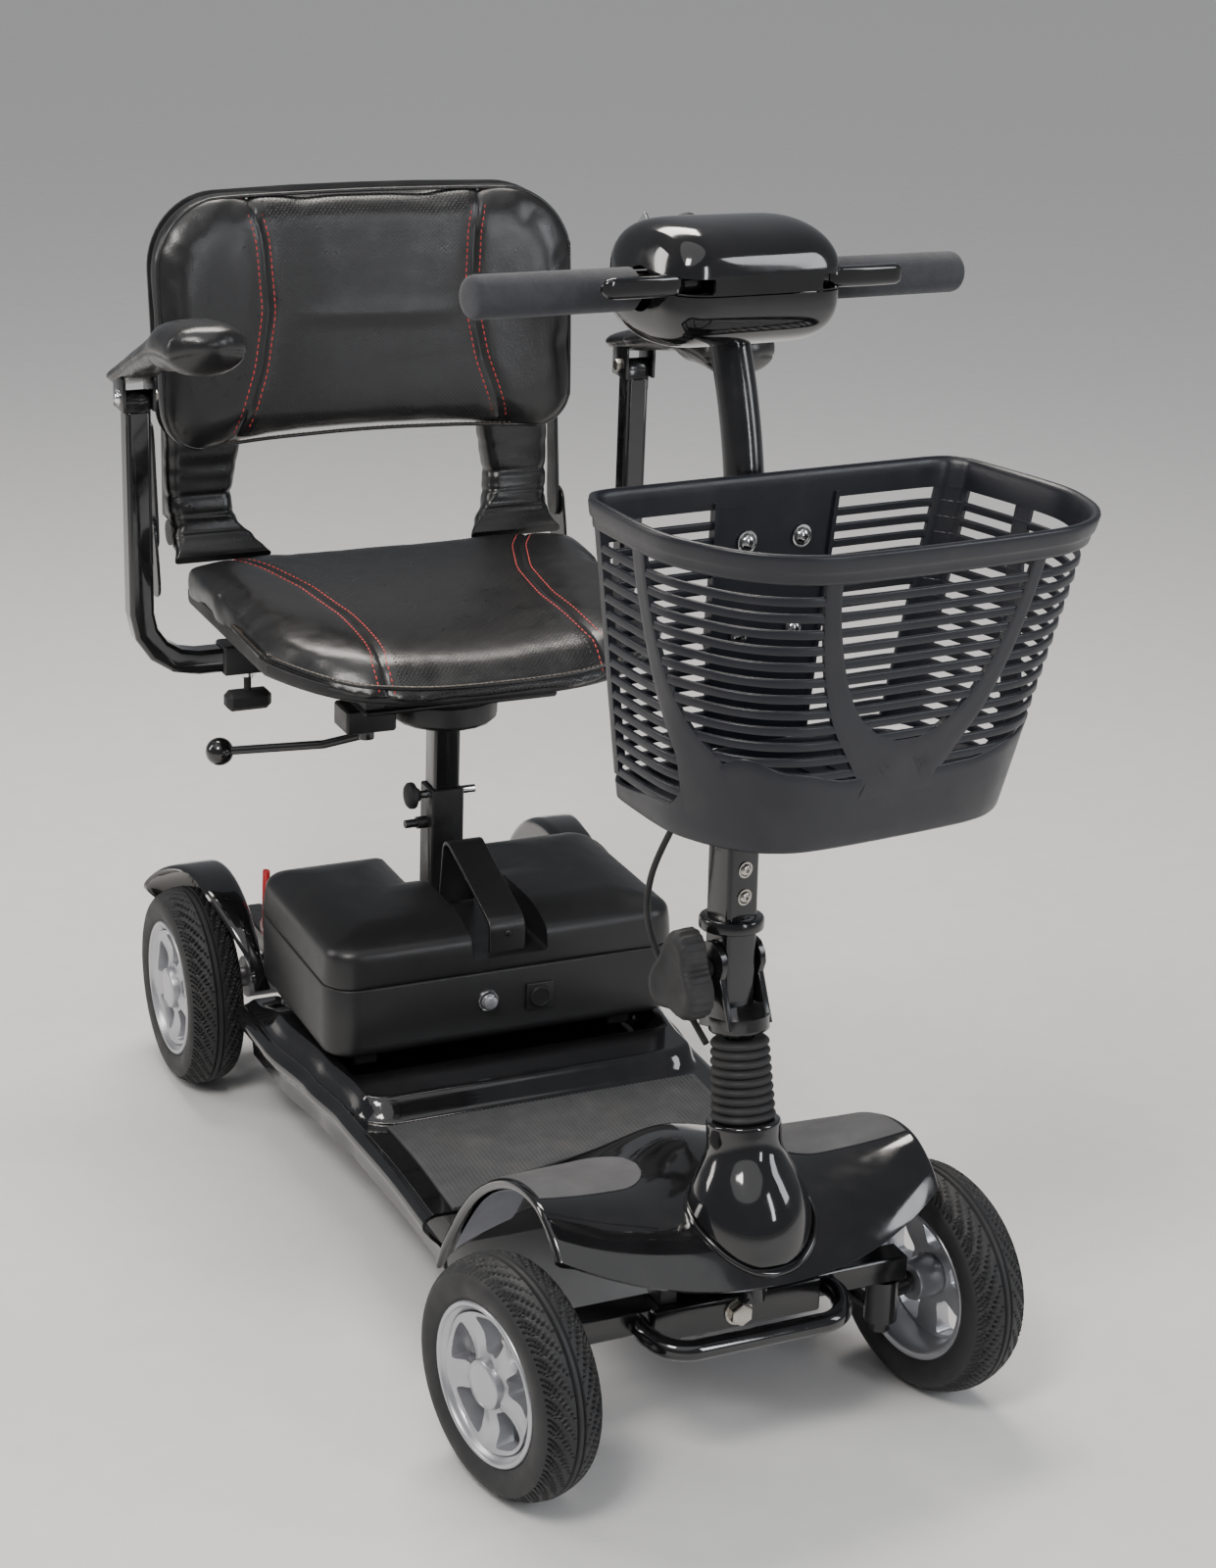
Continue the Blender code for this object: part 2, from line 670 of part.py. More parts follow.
def make_rear_frame():
    """The rails that carry the battery, the seat post and the transaxle."""
    frame = finish_mesh("rear_frame", block(-0.143, 0.143, 0.622, 0.668, 0.1253, 0.1498, 0.002), FRAME_BLACK)
    for side in (-1, 1):
        x0, x1 = sorted((side * 0.118, side * 0.142))
        join(frame, block(x0, x1, 0.500, 0.850, 0.1256, 0.1495, 0.002))
        join(frame, block(x0 + 0.0025, x1 - 0.0025, 0.600, 0.634, 0.1112, 0.1310, 0.001))
        join(frame, block(x0 + 0.004, x1 - 0.004, 0.765, 0.800, 0.1215, 0.1310, 0.001))
    join(frame, block(-0.140, 0.140, 0.826, 0.848, 0.1258, 0.1493, 0.002))
    for side in (-1, 1):
        x0, x1 = sorted((side * 0.130, side * 0.1705))
        join(frame, block(x0, x1, 0.8200, 0.8420, 0.1440, 0.1480, 0.001))


def make_transaxle():
    """Motor, gearbox and axle tubes in one unit, with the two drive shafts."""
    def axle(x):
        return at(x, WHEELBASE, AXLE_Z)
    unit = finish_mesh("transaxle", rod(axle(-0.158), axle(0.158), 0.0212, 14), CAST_ALLOY)
    gearbox = [(0, 0), (0.036, 0), (0.042, 0.006), (0.042, 0.040), (0.036, 0.046), (0, 0.046)]
    join(unit, turned(gearbox, at(-0.004, 0.770, 0.0905), X_AXIS, 18))
    motor = [(0, 0), (0.030, 0), (0.034, 0.004), (0.034, 0.090), (0.030, 0.096), (0, 0.096)]
    join(unit, turned(motor, at(0.012, 0.724, 0.0860), -X_AXIS, 18))
    for side in (-1, 1):
        shaft = [(0.0100, REAR_TRACK / 2 - 0.0235 - 0.150), (STUB_R, 0.0335)]
        join(unit, stepped(axle(side * 0.150), X_AXIS * side, shaft))


def guard_reach(turn):
    """How far out the mudguard's edge lies at an angle round the wheel, 0 at the front."""
    return blend_steps([(math.radians(25), 0.190), (math.radians(80), 0.212), (math.radians(150), 0.238)], turn)


def make_mudguard(label, side):
    """A quarter shell over the tyre's inner half, with an inner wall."""
    rings = []
    steps = 15
    inner_x, wall = 0.1710, 0.0030
    for i in range(steps + 1):
        turn = math.radians(18 + 147 * i / steps)
        taper = min(1.0, 4 * i / steps + 0.25, 4 * (steps - i) / steps + 0.25)
        out = inner_x + (guard_reach(turn) - inner_x) * (0.35 + 0.65 * taper)
        high, low = 0.1230, 0.1230 - 0.045 * taper
        section = [(inner_x, low), (inner_x, high - 0.004), (inner_x + 0.004, high),
                   (out - 0.004, high - 0.001), (out, high - 0.0045), (out - wall, high - 0.0065),
                   (inner_x + 0.005, high - wall), (inner_x + wall, high - 0.0055), (inner_x + wall, low)]
        rings.append([
            at(side * x, WHEELBASE - r * math.cos(turn), AXLE_Z + r * math.sin(turn)) for x, r in section
        ])
    finish_mesh("mudguard_" + label, loft(rings), GLOSS_BLACK)


def make_freewheel_lever():
    """The red lever that frees the drive, on the transaxle's right end."""
    hinge = at(-0.1500, 0.738, 0.172)
    empty = pivot("freewheel_lever", hinge)
    disc = rod(hinge - X_AXIS * 0.003, hinge + X_AXIS * 0.003, 0.0090, 16)
    lever = finish_mesh("freewheel_lever", disc, RED, empty)
    tip = hinge + Vector((0.0, -0.004, 0.062))
    join(lever, swept([hinge, hinge.lerp(tip, 0.9), tip], oval(10, 0.0036, 0.0048), X_AXIS))


# ---------------------------------------------------------------- seat post and battery
def make_sleeve():
    """The fixed square sleeve of the seat post, on the rear frame."""
    half = SLEEVE_SIDE / 2
    s = POST_STATION
    sleeve = finish_mesh(
        "seat_post_sleeve", block(-half, half, s - half, s + half, 0.1501, SLEEVE_TOP, 0.0015), FRAME_BLACK)
    bore = POST_SIDE / 2 + 0.0004
    cut(sleeve, block(-bore, bore, s - bore, s + bore, 0.1540, SLEEVE_TOP + 0.02))
    cut(sleeve, rod(at(-0.05, s, PIN_Z), at(0.05, s, PIN_Z), 0.0046))
    join(sleeve, stepped(at(-half + 0.002, s, 0.302), -X_AXIS, [(0.0060, 0.012), (0.0042, 0.012)]))


def make_seat_pin():
    """The locking pin with its grip, through the sleeve and the post."""
    s = POST_STATION
    empty = pivot("seat_pin", at(0, s, PIN_Z))
    pin = finish_mesh("seat_pin", rod(at(-0.030, s, PIN_Z), at(0.034, s, PIN_Z), 0.0040), STEEL, empty)
    join(pin, turned([(0, 0), (0.0060, 0), (0.0130, 0.006), (0.0120, 0.012), (0, 0.014)],
                     at(-0.024, s, PIN_Z), -X_AXIS, 18))


def battery_outline(inset):
    """The battery case seen from above, with the channel for the seat post at its rear."""
    half, front, rear = BATTERY_HALF - inset, BATTERY_FRONT + inset, BATTERY_REAR - inset
    channel, depth, corner = 0.0420 + inset, 0.622 - inset, 0.030 - inset
    outline = [(-channel, rear), (-half + corner, rear)]
    for i in range(1, 4):
        turn = math.radians(90 + 30 * i)
        outline.append((-half + corner + corner * math.cos(turn), rear - corner + corner * math.sin(turn)))
    for i in range(0, 4):
        turn = math.radians(180 + 30 * i)
        outline.append((-half + corner + corner * math.cos(turn), front + corner + corner * math.sin(turn)))
    mirrored = [(-x, s) for x, s in reversed(outline)]
    return outline + mirrored + [(channel, depth), (-channel, depth)]


def battery_ring(inset, z):
    return [at(x, s, z) for x, s in battery_outline(inset)]


def make_battery():
    """The lift-out battery pack: tray, cover, cells and carrying handle."""
    empty = pivot("battery", at(0, 0.590, BATTERY_LOW))
    low_rings = [battery_ring(0.0045, BATTERY_LOW), battery_ring(0.0005, BATTERY_LOW + 0.005),
                 battery_ring(0.0, BATTERY_SEAM - GAP)]
    tray = finish_mesh("battery_tray", loft(low_rings), SATIN_PLASTIC, empty)
    cut(tray, loft([battery_ring(0.0040, BATTERY_LOW + 0.004), battery_ring(0.0032, BATTERY_SEAM + 0.01)]))
    rings = [battery_ring(0.0, BATTERY_SEAM), battery_ring(0.0015, 0.240), battery_ring(0.0050, 0.2520),
             battery_ring(0.0120, 0.2610), battery_ring(0.0190, BATTERY_TOP)]
    button = at(-0.022, BATTERY_FRONT, 0.190)
    join(tray, tube(button + Y_AXIS * 0.002, button - Y_AXIS * 0.0030, 0.0105, 0.0077, 14))
    cover = finish_mesh("battery_cover", loft(rings), SATIN_PLASTIC, empty)
    for side in (-1, 1):
        x0, x1 = sorted((side * 0.0465, side * (BATTERY_HALF - 0.0035)))
        cut(cover, block(x0, x1, BATTERY_FRONT + 0.0035, BATTERY_REAR - 0.0035, 0.1900, 0.2600, 0.026, 4))
    cut(cover, block(-0.070, 0.070, BATTERY_FRONT + 0.0050, 0.6165, 0.2000, 0.2290))
    cut(cover, block(-0.038, 0.038, 0.440, 0.640, 0.2320, 0.300, 0.004))
    cells = finish_mesh("battery_cells", block(-0.168, -0.010, 0.482, 0.606, 0.1560, 0.2270, 0.002), GREY_PLASTIC,
                        empty)
    join(cells, block(0.010, 0.168, 0.482, 0.606, 0.1560, 0.2270, 0.002))
    join(cells, block(-0.020, 0.020, 0.520, 0.560, 0.1700, 0.1900, 0.001))
    return empty


def make_battery_handle(empty):
    """The strap handle from the cover's front edge back to the seat post."""
    path = rounded_path([at(0, 0.476, 0.2338), at(0, 0.476, 0.2620), at(0, 0.594, 0.3060), at(0, 0.6035, 0.2338)],
                        0.010, 4)
    section = [(0.018, 0.0022), (-0.018, 0.0022), (-0.018, -0.0022), (0.018, -0.0022)]
    finish_mesh("battery_handle", swept(path, section, X_AXIS), SATIN_PLASTIC, empty)


def make_battery_controls(empty):
    """The reset button of the breaker and the charging socket's cap, on the front face."""
    front = BATTERY_FRONT
    button_axis = pivot("breaker_button", at(-0.022, front, 0.190), empty)
    profile = [(0, 0), (0.0072, 0), (0.0072, 0.0075), (0, 0.0085)]
    button = turned(profile, at(-0.022, front - GAP, 0.190), -Y_AXIS, 18)
    finish_mesh("breaker_button", button, SILVER, button_axis)
    cap_axis = pivot("charge_port_cap", at(0.030, front - 0.0012, 0.2015), empty)
    cap = finish_mesh("charge_port_cap", block(0.0165, 0.0435, front - 0.0030, front - GAP, 0.1740, 0.2010, 0.0008, 1),
                      SATIN_PLASTIC, cap_axis)
    join(cap, rod(at(0.030, front - 0.0020, 0.1875), at(0.030, front - 0.0055, 0.1875), 0.0105, 20))


# ---------------------------------------------------------------- tiller
def tiller_point(z):
    """The middle of the tiller tube at height z: nearly upright, then bent back to the bar."""
    straight = PIVOT_STATION + (z - PIVOT_Z) * 0.086
    bend = max(0.0, z - 0.745)
    return at(0, straight + bend * bend * 1.22, z)


BRACKET_LOW, BRACKET_HIGH = 0.668, 0.776
PLATE_STATION = 0.0270


def make_tiller(steering):
    """The folding upper column."""
    empty = pivot("tiller", at(0, PIVOT_STATION, PIVOT_Z), steering)
    lower = [at(0, PIVOT_STATION - 0.002, 0.3790), tiller_point(0.430), tiller_point(0.520)]
    tiller = finish_mesh("tiller_tube", swept(lower, square(0.0300, 0.004), X_AXIS), GLOSS_BLACK, empty)
    upper = [tiller_point(z) for z in (0.505, 0.700, 0.760, 0.790, 0.815, 0.840, 0.865, 0.9075)]
    join(tiller, swept(upper, oval(12, 0.0155, 0.0155), X_AXIS))
    flange = [(0, 0), (0.0250, 0), (0.0258, 0.0015), (0.0258, 0.0095), (0.0240, 0.011), (0, 0.011)]
    join(tiller, turned(flange, tiller_point(0.4400), (tiller_point(0.5) - tiller_point(0.45)), 18))
    return empty


def make_tiller_knob(tiller):
    """The clamp knob of the fold pivot, with its long delta grip, on the right of the fork."""
    hinge = at(-0.0220, PIVOT_STATION, PIVOT_Z + 0.006)
    empty = pivot("tiller_knob", hinge, tiller)
    knob = finish_mesh("tiller_knob", rod(hinge, hinge - X_AXIS * 0.020, 0.0075), GREY_PLASTIC, empty)
    outline = []
    for degrees in range(0, 360, 30):
        turn = math.radians(degrees)
        reach = 0.0305 + 0.0045 * math.cos(3 * (turn - math.pi / 2))
        outline.append((reach * 0.92 * math.cos(turn), reach * 1.12 * math.sin(turn) - 0.003))
    rings = []
    for depth, scale in ((0.0120, 0.78), (0.0170, 1.0), (0.0330, 1.0), (0.0390, 0.84)):
        rings.append([hinge + Vector((-depth, a * scale, b * scale)) for a, b in outline])
    join(knob, loft(rings))


def make_basket_bracket(tiller):
    """The steel plate and clamp that carry the basket, with its four screws."""
    s = PLATE_STATION
    plate_outline = rounded_outline(0.050, BRACKET_LOW, BRACKET_HIGH, 0.008, 2)
    bracket = finish_mesh("basket_bracket", plate(plate_outline, s + GAP, s + 0.0035, "S"), FRAME_BLACK, tiller)
    for z in (0.690, 0.750):
        centre = tiller_point(z)
        join(bracket, block(-0.0205, 0.0205, s + 0.002, centre.y - FRONT_AXLE_Y + 0.019, z - 0.009, z + 0.009, 0.002))
    cut(bracket, swept([tiller_point(z) for z in (0.60, 0.70, 0.76, 0.79)], oval(12, 0.0159, 0.0159), X_AXIS))
    for x in (-0.026, 0.026):
        for z in (0.684, 0.756):
            join(bracket, rod(at(x, s - 0.0100, z), at(x, s + 0.0025, z), 0.0036, 8))
            head = [(0, 0), (0.0075, 0), (0.0068, 0.0025), (0.0040, 0.0040), (0, 0.0042)]
            join(bracket, turned(head, at(x, s - 0.0092, z), -Y_AXIS, 10))


BASKET_TOP, BASKET_LOW = 0.806, 0.575
BASKET_REAR = 0.0225


def basket_outline(half, front, rear):
    """The D-shaped plan of the basket: a straight rear, full sides and a bowed front."""
    corner = 0.030
    outline = [(-half * 0.60, rear), (0.0, rear), (half * 0.60, rear)]
    outline += [(half * 0.955 - corner + corner * math.sin(t), rear - corner + corner * math.cos(t))
                for t in (math.radians(20), math.radians(55), math.radians(85))]
    depth = rear - front
    for degrees in (8, 28, 46, 62, 78):
        turn = math.radians(degrees)
        outline.append((half * math.cos(turn) ** 0.44, rear - depth * (0.42 + 0.58 * math.sin(turn))))
    outline.append((0.0, front))
    mirrored = [(-x, s) for x, s in reversed(outline[3:-1])]
    return outline + mirrored


def basket_ring(z, inset):
    """The basket's outline at height z; it tapers downwards on three sides."""
    share = (z - BASKET_LOW) / (BASKET_TOP - BASKET_LOW)
    half = 0.146 + 0.042 * share - inset
    front = -0.148 - 0.036 * share + inset
    return [at(x, s, z) for x, s in basket_outline(half, front, BASKET_REAR - inset)]


def make_basket(tiller):
    """A moulded basket: thick rim, tapering wall and a floor. It is open at the top."""
    outer = [basket_ring(BASKET_LOW, 0.004), basket_ring(BASKET_LOW + 0.004, 0.0),
             basket_ring(BASKET_TOP - 0.012, 0.0), basket_ring(BASKET_TOP - 0.011, -0.004),
             basket_ring(BASKET_TOP, -0.004)]
    basket = finish_mesh("basket", loft(outer), GREY_PLASTIC, tiller)
    cut(basket, loft([basket_ring(BASKET_LOW + 0.0035, 0.0040), basket_ring(BASKET_TOP + 0.020, 0.0035)]))
    for x in (-0.026, 0.026):
        for z in (0.684, 0.756):
            cut(basket, rod(at(x, 0.010, z), at(x, 0.050, z), 0.0042, 8))


def make_handlebar(tiller):
    """The straight bar with its clamp, and one foam grip on each end."""
    bar = finish_mesh(
        "handlebar", rod(at(-BAR_HALF + 0.004, BAR_STATION, BAR_Z), at(BAR_HALF - 0.004, BAR_STATION, BAR_Z), BAR_R),
        STEEL, tiller)
    join(bar, block(-0.018, 0.018, BAR_STATION - 0.015, BAR_STATION + 0.015, 0.9140, 0.9480, 0.003))
    for label, side in (("right", -1), ("left", 1)):
        start = at(side * 0.099, BAR_STATION, BAR_Z)
        length = BAR_HALF - 0.099
        bore, end = BAR_R + GAP, length - 0.0035
        profile = [(0, end), (bore, end), (bore, 0), (GRIP_R, 0), (GRIP_R, length - 0.003),
                   (GRIP_R - 0.003, length), (0, length)]
        finish_mesh("grip_" + label, turned(profile, start, X_AXIS * side, 16), FOAM, tiller)


def console_ring(x, inset):
    """The side outline of the console at offset x: a leaning, rounded wedge."""
    share = min(abs(x) / 0.0875, 1.0)
    shrink = math.sqrt(max(0.0, 1 - share**3.8))
    top = BAR_Z + 0.004 + 0.046 * shrink - inset
    low = BAR_Z - 0.006 - 0.038 * shrink + inset
    front = BAR_STATION - 0.022 - 0.032 * shrink + inset
    rear = BAR_STATION + 0.022 + 0.036 * shrink - inset
    return front, rear, low, top


def console_section(x, inset, split, keep_upper):
    """The half of the console's outline above or below the split, as ring points."""
    front, rear, low, top = console_ring(x, inset)
    middle, half = (front + rear) / 2, (rear - front) / 2
    reach = top - split if keep_upper else low - split
    points = []
    for i in range(7):
        turn = math.pi * i / 6
        points.append(at(x, middle + half * math.cos(turn), split + reach * max(0.0, math.sin(turn)) ** 0.75))
    return points


def console_half(keep_upper, inset, split, ends):
    """A solid half of the console; ends are its outermost side offsets."""
    shares = [-1.0, -0.93, -0.78, -0.45, 0.0, 0.45, 0.78, 0.93, 1.0]
    return loft([console_section(share * ends, inset, split, keep_upper) for share in shares])


def make_console(tiller):
    """The control head: a base and a hood, both hollow, that close round the bar."""
    split = BAR_Z + 0.002
    base = finish_mesh("console_base", console_half(False, 0.0, split - GAP, 0.0860), GLOSS_BLACK, tiller)
    cut(base, console_half(False, 0.0028, split + 0.004, 0.0830))
    hood = finish_mesh("console_cover", console_half(True, 0.0, split, 0.0860), GLOSS_BLACK, tiller)
    up = Vector((0.0, -math.sin(FACE_TILT), math.cos(FACE_TILT)))
    ring = [X_AXIS * (0.052 * a) + up * (0.0150 * b) for a, b in ((1, -1), (1, 1), (-1, 1), (-1, -1))]
    join(hood, loft([[face_point(0, out) + corner for corner in ring] for out in (-0.0160, 0.0)]))
    cut(hood, console_half(True, 0.0028, split - 0.004, 0.0830))
    for shell in (base, hood):
        cut(shell, rod(at(-0.12, BAR_STATION, BAR_Z), at(0.12, BAR_STATION, BAR_Z), GRIP_R + 0.0008, 16))
        for side in (-1, 1):
            x0, x1 = sorted((side * 0.038, side * 0.120))
            cut(shell, block(x0, x1, 0.0400, 0.0850, 0.9312, 0.9490))
    neck = [tiller_point(0.84), tiller_point(0.865), tiller_point(0.90), at(0, 0.106, 0.925)]
    cut(base, swept(neck, oval(14, 0.0166, 0.0166), X_AXIS))


FACE_TILT = math.radians(40)


def face_point(x, out):
    """A point on the control face's normal at side offset x; out is its height over the face."""
    normal = Vector((0.0, math.cos(FACE_TILT), math.sin(FACE_TILT)))
    return at(x, 0.1545, 0.9602) + normal * out


def make_controls(tiller):
    """The speed dial, key, horn button and the drive lever."""
    normal = Vector((0.0, math.cos(FACE_TILT), math.sin(FACE_TILT)))
    dial_axis = pivot("speed_dial", face_point(0, 0), tiller)
    dial = [(0, GAP), (0.0135, GAP), (0.0135, 0.003), (0.0120, 0.0100), (0, 0.0105)]
    finish_mesh("speed_dial", turned(dial, face_point(0, 0), normal, 20), GREY_PLASTIC, dial_axis)
    key_axis = pivot("ignition_key", face_point(-0.036, 0), tiller)
    barrel = [(0, GAP), (0.0076, GAP), (0.0076, 0.002), (0, 0.002)]
    key = finish_mesh("ignition_key", turned(barrel, face_point(-0.036, 0), normal, 16), STEEL, key_axis)
    up = Vector((0.0, -math.sin(FACE_TILT), math.cos(FACE_TILT)))
    centre = face_point(-0.036, 0)
    ring = [X_AXIS * (0.0013 * a) + up * (0.0085 * b) for a, b in ((1, -1), (1, 1), (-1, 1), (-1, -1))]
    join(key, loft([[centre + normal * h + p for p in ring] for h in (0.001, 0.014)]))
    horn_axis = pivot("horn_button", face_point(0.036, 0), tiller)
    horn = [(0, 0.0033), (0.0076, 0.0033), (0.0076, 0.0050), (0.0066, 0.0070), (0, 0.0075)]
    finish_mesh("horn_button", turned(horn, face_point(0.036, 0), normal, 16), RED, horn_axis)
    make_throttle(tiller)


def make_throttle(tiller):
    """The drive lever: one rocking bar, with a finger paddle out of each side of the console."""
    hinge = at(0, 0.066, 0.9400)
    empty = pivot("throttle_lever", hinge, tiller)
    lever = finish_mesh("throttle_lever", rod(hinge - Z_AXIS * 0.006, hinge + Z_AXIS * 0.006, 0.0080),
                        GLOSS_BLACK, empty)
    join(lever, block(-0.090, 0.090, 0.0632, 0.0684, 0.9360, 0.9440, 0.001))
    for side in (-1, 1):
        x0, x1 = sorted((side * 0.080, side * 0.150))
        join(lever, block(x0, x1, 0.0610, 0.0690, 0.9325, 0.9475, 0.003))


# ---------------------------------------------------------------- seat
def make_seat_post():
    """The square post that slides in the sleeve, with a slot past the locking pin."""
    s, half = POST_STATION, POST_SIDE / 2
    empty = pivot("seat_post", at(0, s, SLEEVE_TOP))
    post = finish_mesh("seat_post", block(-half, half, s - half, s + half, 0.2150, 0.4100, 0.0015), FRAME_BLACK, empty)
    cut(post, block(-0.03, 0.03, s - 0.0048, s + 0.0048, PIN_Z - SEAT_TRAVEL - 0.006, PIN_Z + 0.006))
    join(post, rod(at(0, s, 0.4050), at(0, s, 0.4300), 0.0160, 20))
    return empty


SEAT_Z = 0.478
SEAT_HALF = 0.206


def make_seat_base(post):
    """The swivel housing and the pressed plate under the seat, with two armrest receivers."""
    empty = pivot("seat_swivel", at(0, POST_STATION, 0.4100), post)
    s = POST_STATION
    housing = [(0.0164, 0), (0.0480, 0), (0.0520, 0.004), (0.0520, 0.022), (0.0460, 0.028), (0.0164, 0.028)]
    base = finish_mesh("seat_base", turned(housing, at(0, s, 0.4103), Z_AXIS, 20), FRAME_BLACK, empty)
    join(base, block(-0.098, 0.098, 0.596, 0.800, 0.4340, 0.4400, 0.002))
    half = ARM_TUBE / 2
    for side in (-1, 1):
        x0, x1 = sorted((side * 0.040, side * 0.178))
        z0, z1 = ARM_LOW_Z - half - 0.003, ARM_LOW_Z + half + 0.003
        s0, s1 = ARM_STATION - half - 0.003, ARM_STATION + half + 0.003
        join(base, block(x0, x1, s0, s1, z0, z1, 0.002))
        x2, x3 = sorted((side * 0.052, side * 0.200))
        cut(base, block(x2, x3, s0 + 0.0027, s1 - 0.0027, z0 + 0.0027, z1 - 0.0027))
        cut(base, rod(at(side * 0.150, ARM_STATION, 0.40), at(side * 0.150, ARM_STATION, ARM_LOW_Z), 0.0045, 12))
    for x in (-0.086, 0.086):
        join(base, block(x - 0.010, x + 0.010, 0.600, 0.770, 0.4380, SEAT_Z - 0.0035, 0.001))
    join(base, block(-0.110, -0.060, 0.612, 0.650, 0.4120, 0.4360, 0.002))
    return empty


def make_swivel_lever(seat):
    """The lever that frees the swivel, with a ball grip, on the rider's right."""
    hinge = at(-0.0840, 0.6310, 0.4050)
    empty = pivot("swivel_lever", hinge, seat)
    boss = rod(hinge - Z_AXIS * 0.0040, hinge + Z_AXIS * 0.0065, 0.0080)
    lever = finish_mesh("swivel_lever", boss, FRAME_BLACK, empty)
    ball = at(-0.2020, 0.7160, 0.3720)
    path = rounded_path([hinge, at(-0.1180, 0.6560, 0.3900), ball], 0.02, 3)
    join(lever, swept(path, oval(10, 0.0042, 0.0042), Z_AXIS))
    profile = [(0.0136 * math.sin(math.radians(a)), -0.0136 * math.cos(math.radians(a))) for a in range(0, 181, 20)]
    profile[0] = (0.0, profile[0][1])
    profile[-1] = (0.0, profile[-1][1])
    join(lever, turned(profile, ball, Z_AXIS, 16))


def seat_ring(x, grow=0.0):
    """The side outline of the seat cushion at offset x: dished, with raised and rounded edges."""
    share = min(abs(x) / SEAT_HALF, 1.0)
    edge = share**4
    front = 0.496 + 0.092 * edge
    rear = 0.866 - 0.040 * edge
    top = 0.516 + 0.030 * share**2.4 - 0.014 * edge
    low = SEAT_Z - 0.003 + 0.020 * share**3
    drop = 0.026 * (1 - 0.5 * edge)
    pairs = [
        (front + 0.010, low), (front, low + 0.012), (front + 0.004, top - drop), (front + 0.030, top - 0.010),
        (front + 0.090, top - 0.002), ((front + rear) / 2, top), (rear - 0.070, top + 0.004),
        (rear - 0.015, top + 0.004), (rear, top - 0.010), (rear - 0.004, low + 0.004), (rear - 0.050, low),
    ]
    return [at(x, s, z + grow) for s, z in pairs]


def make_seat_cushion(seat):
    """The padded seat on its pan, one closed form."""
    shares = [-1.0, -0.96, -0.85, -0.65, -0.40, -0.15, 0.15, 0.40, 0.65, 0.85, 0.96, 1.0]
    rings = [seat_ring(share * SEAT_HALF) for share in shares]
    finish_mesh("seat_cushion", loft(rings), LEATHERETTE, seat)


BACK_HINGE = (0.884, 0.544)


def make_backrest(seat):
    """The back: two side hinges joined by a bar, and the padded back on them."""
    s, z = BACK_HINGE
    empty = pivot("backrest", at(0, s, z), seat)
    frame = finish_mesh("backrest_frame", block(-0.190, 0.190, s + 0.014, s + 0.026, 0.680, 0.720, 0.002),
                        FRAME_BLACK, empty)
    for side in (-1, 1):
        x0, x1 = sorted((side * 0.165, side * 0.200))
        join(frame, block(x0, x1, s + 0.002, s + 0.024, z + 0.010, 0.715, 0.003))
        join(frame, rod(at(x0, s, z), at(x1, s, z), 0.0130, 16))
    rings = []
    low, high, half = 0.630, 0.872, 0.217
    for depth, inset in ((-0.030, 0.016), (-0.024, 0.004), (-0.010, 0.0), (0.008, 0.002), (0.0135, 0.010)):
        outline = rounded_outline(half - inset, low + inset, high - inset, 0.072 - inset, 5)
        rings.append([at(x, s + depth + 0.020 * (abs(x) / half) ** 2 * -1, h) for x, h in outline])
    finish_mesh("backrest_cushion", loft(rings), LEATHERETTE, empty)


PAD_SLOPE = {"right": 0.360, "left": 0.245}


def make_armrest(label, side, seat):
    """One armrest: its bent tube, its pad and the clamp knob below the receiver."""
    def arm(x, station, z):
        return at(side * x, station, z)
    slide = pivot("armrest_slide_" + label, arm(0.160, ARM_STATION, ARM_LOW_Z), seat)
    corners = [arm(0.060, ARM_STATION, ARM_LOW_Z), arm(ARM_X, ARM_STATION, ARM_LOW_Z),
               arm(ARM_X, ARM_STATION, ARM_TOP_Z)]
    section = square(ARM_TUBE, 0.003)
    finish_mesh("armrest_tube_" + label, swept(rounded_path(corners, 0.055, 4), section, Y_AXIS), GLOSS_BLACK, slide)
    hinge = arm(ARM_X, ARM_STATION, ARM_TOP_Z + 0.013)
    flip = pivot("armrest_flip_" + label, hinge, slide)
    rings = []
    stations = [0.022, 0.006, -0.060, -0.130, -0.180, -0.225, -0.258, -0.268]
    for offset in stations:
        lift = 0.026 - PAD_SLOPE[label] * min(offset, 0.0) - 0.026 * max(0.0, (-offset - 0.19) / 0.08) ** 2
        half = blend_steps([(-0.268, 0.020), (-0.245, 0.038), (-0.200, 0.041), (-0.120, 0.028), (0.022, 0.023)], offset)
        thick = blend_steps([(-0.268, 0.016), (-0.235, 0.034), (-0.180, 0.030), (-0.120, 0.022), (0.022, 0.019)], offset)
        middle = hinge + Vector((0.0, offset, lift - thick / 2))
        rings.append([middle + X_AXIS * (half * a) + Z_AXIS * (thick / 2 * b) for a, b in
                      ((1, -0.5), (1, 0.5), (0.7, 0.93), (0, 1), (-0.7, 0.93), (-1, 0.5), (-1, -0.5),
                       (-0.7, -1), (0.7, -1))])
    pad = finish_mesh("armrest_pad_" + label, loft(rings), LEATHERETTE, flip)
    for x in (0.0128, -0.0162):
        join(pad, slab(hinge + Vector((x, -0.016, -0.012)), hinge + Vector((x + 0.0034, 0.018, 0.020)), 0.001, 1))
    knob_top = arm(0.150, ARM_STATION, ARM_LOW_Z - ARM_TUBE / 2 - 0.0005)
    turn = pivot("armrest_knob_" + label, knob_top, seat)
    knob = finish_mesh("armrest_knob_" + label, rod(knob_top, knob_top - Z_AXIS * 0.026, 0.0038, 12),
                       SATIN_PLASTIC, turn)
    join(knob, slab(knob_top + Vector((-0.023, -0.010, -0.043)), knob_top + Vector((0.023, 0.010, -0.023)), 0.005))


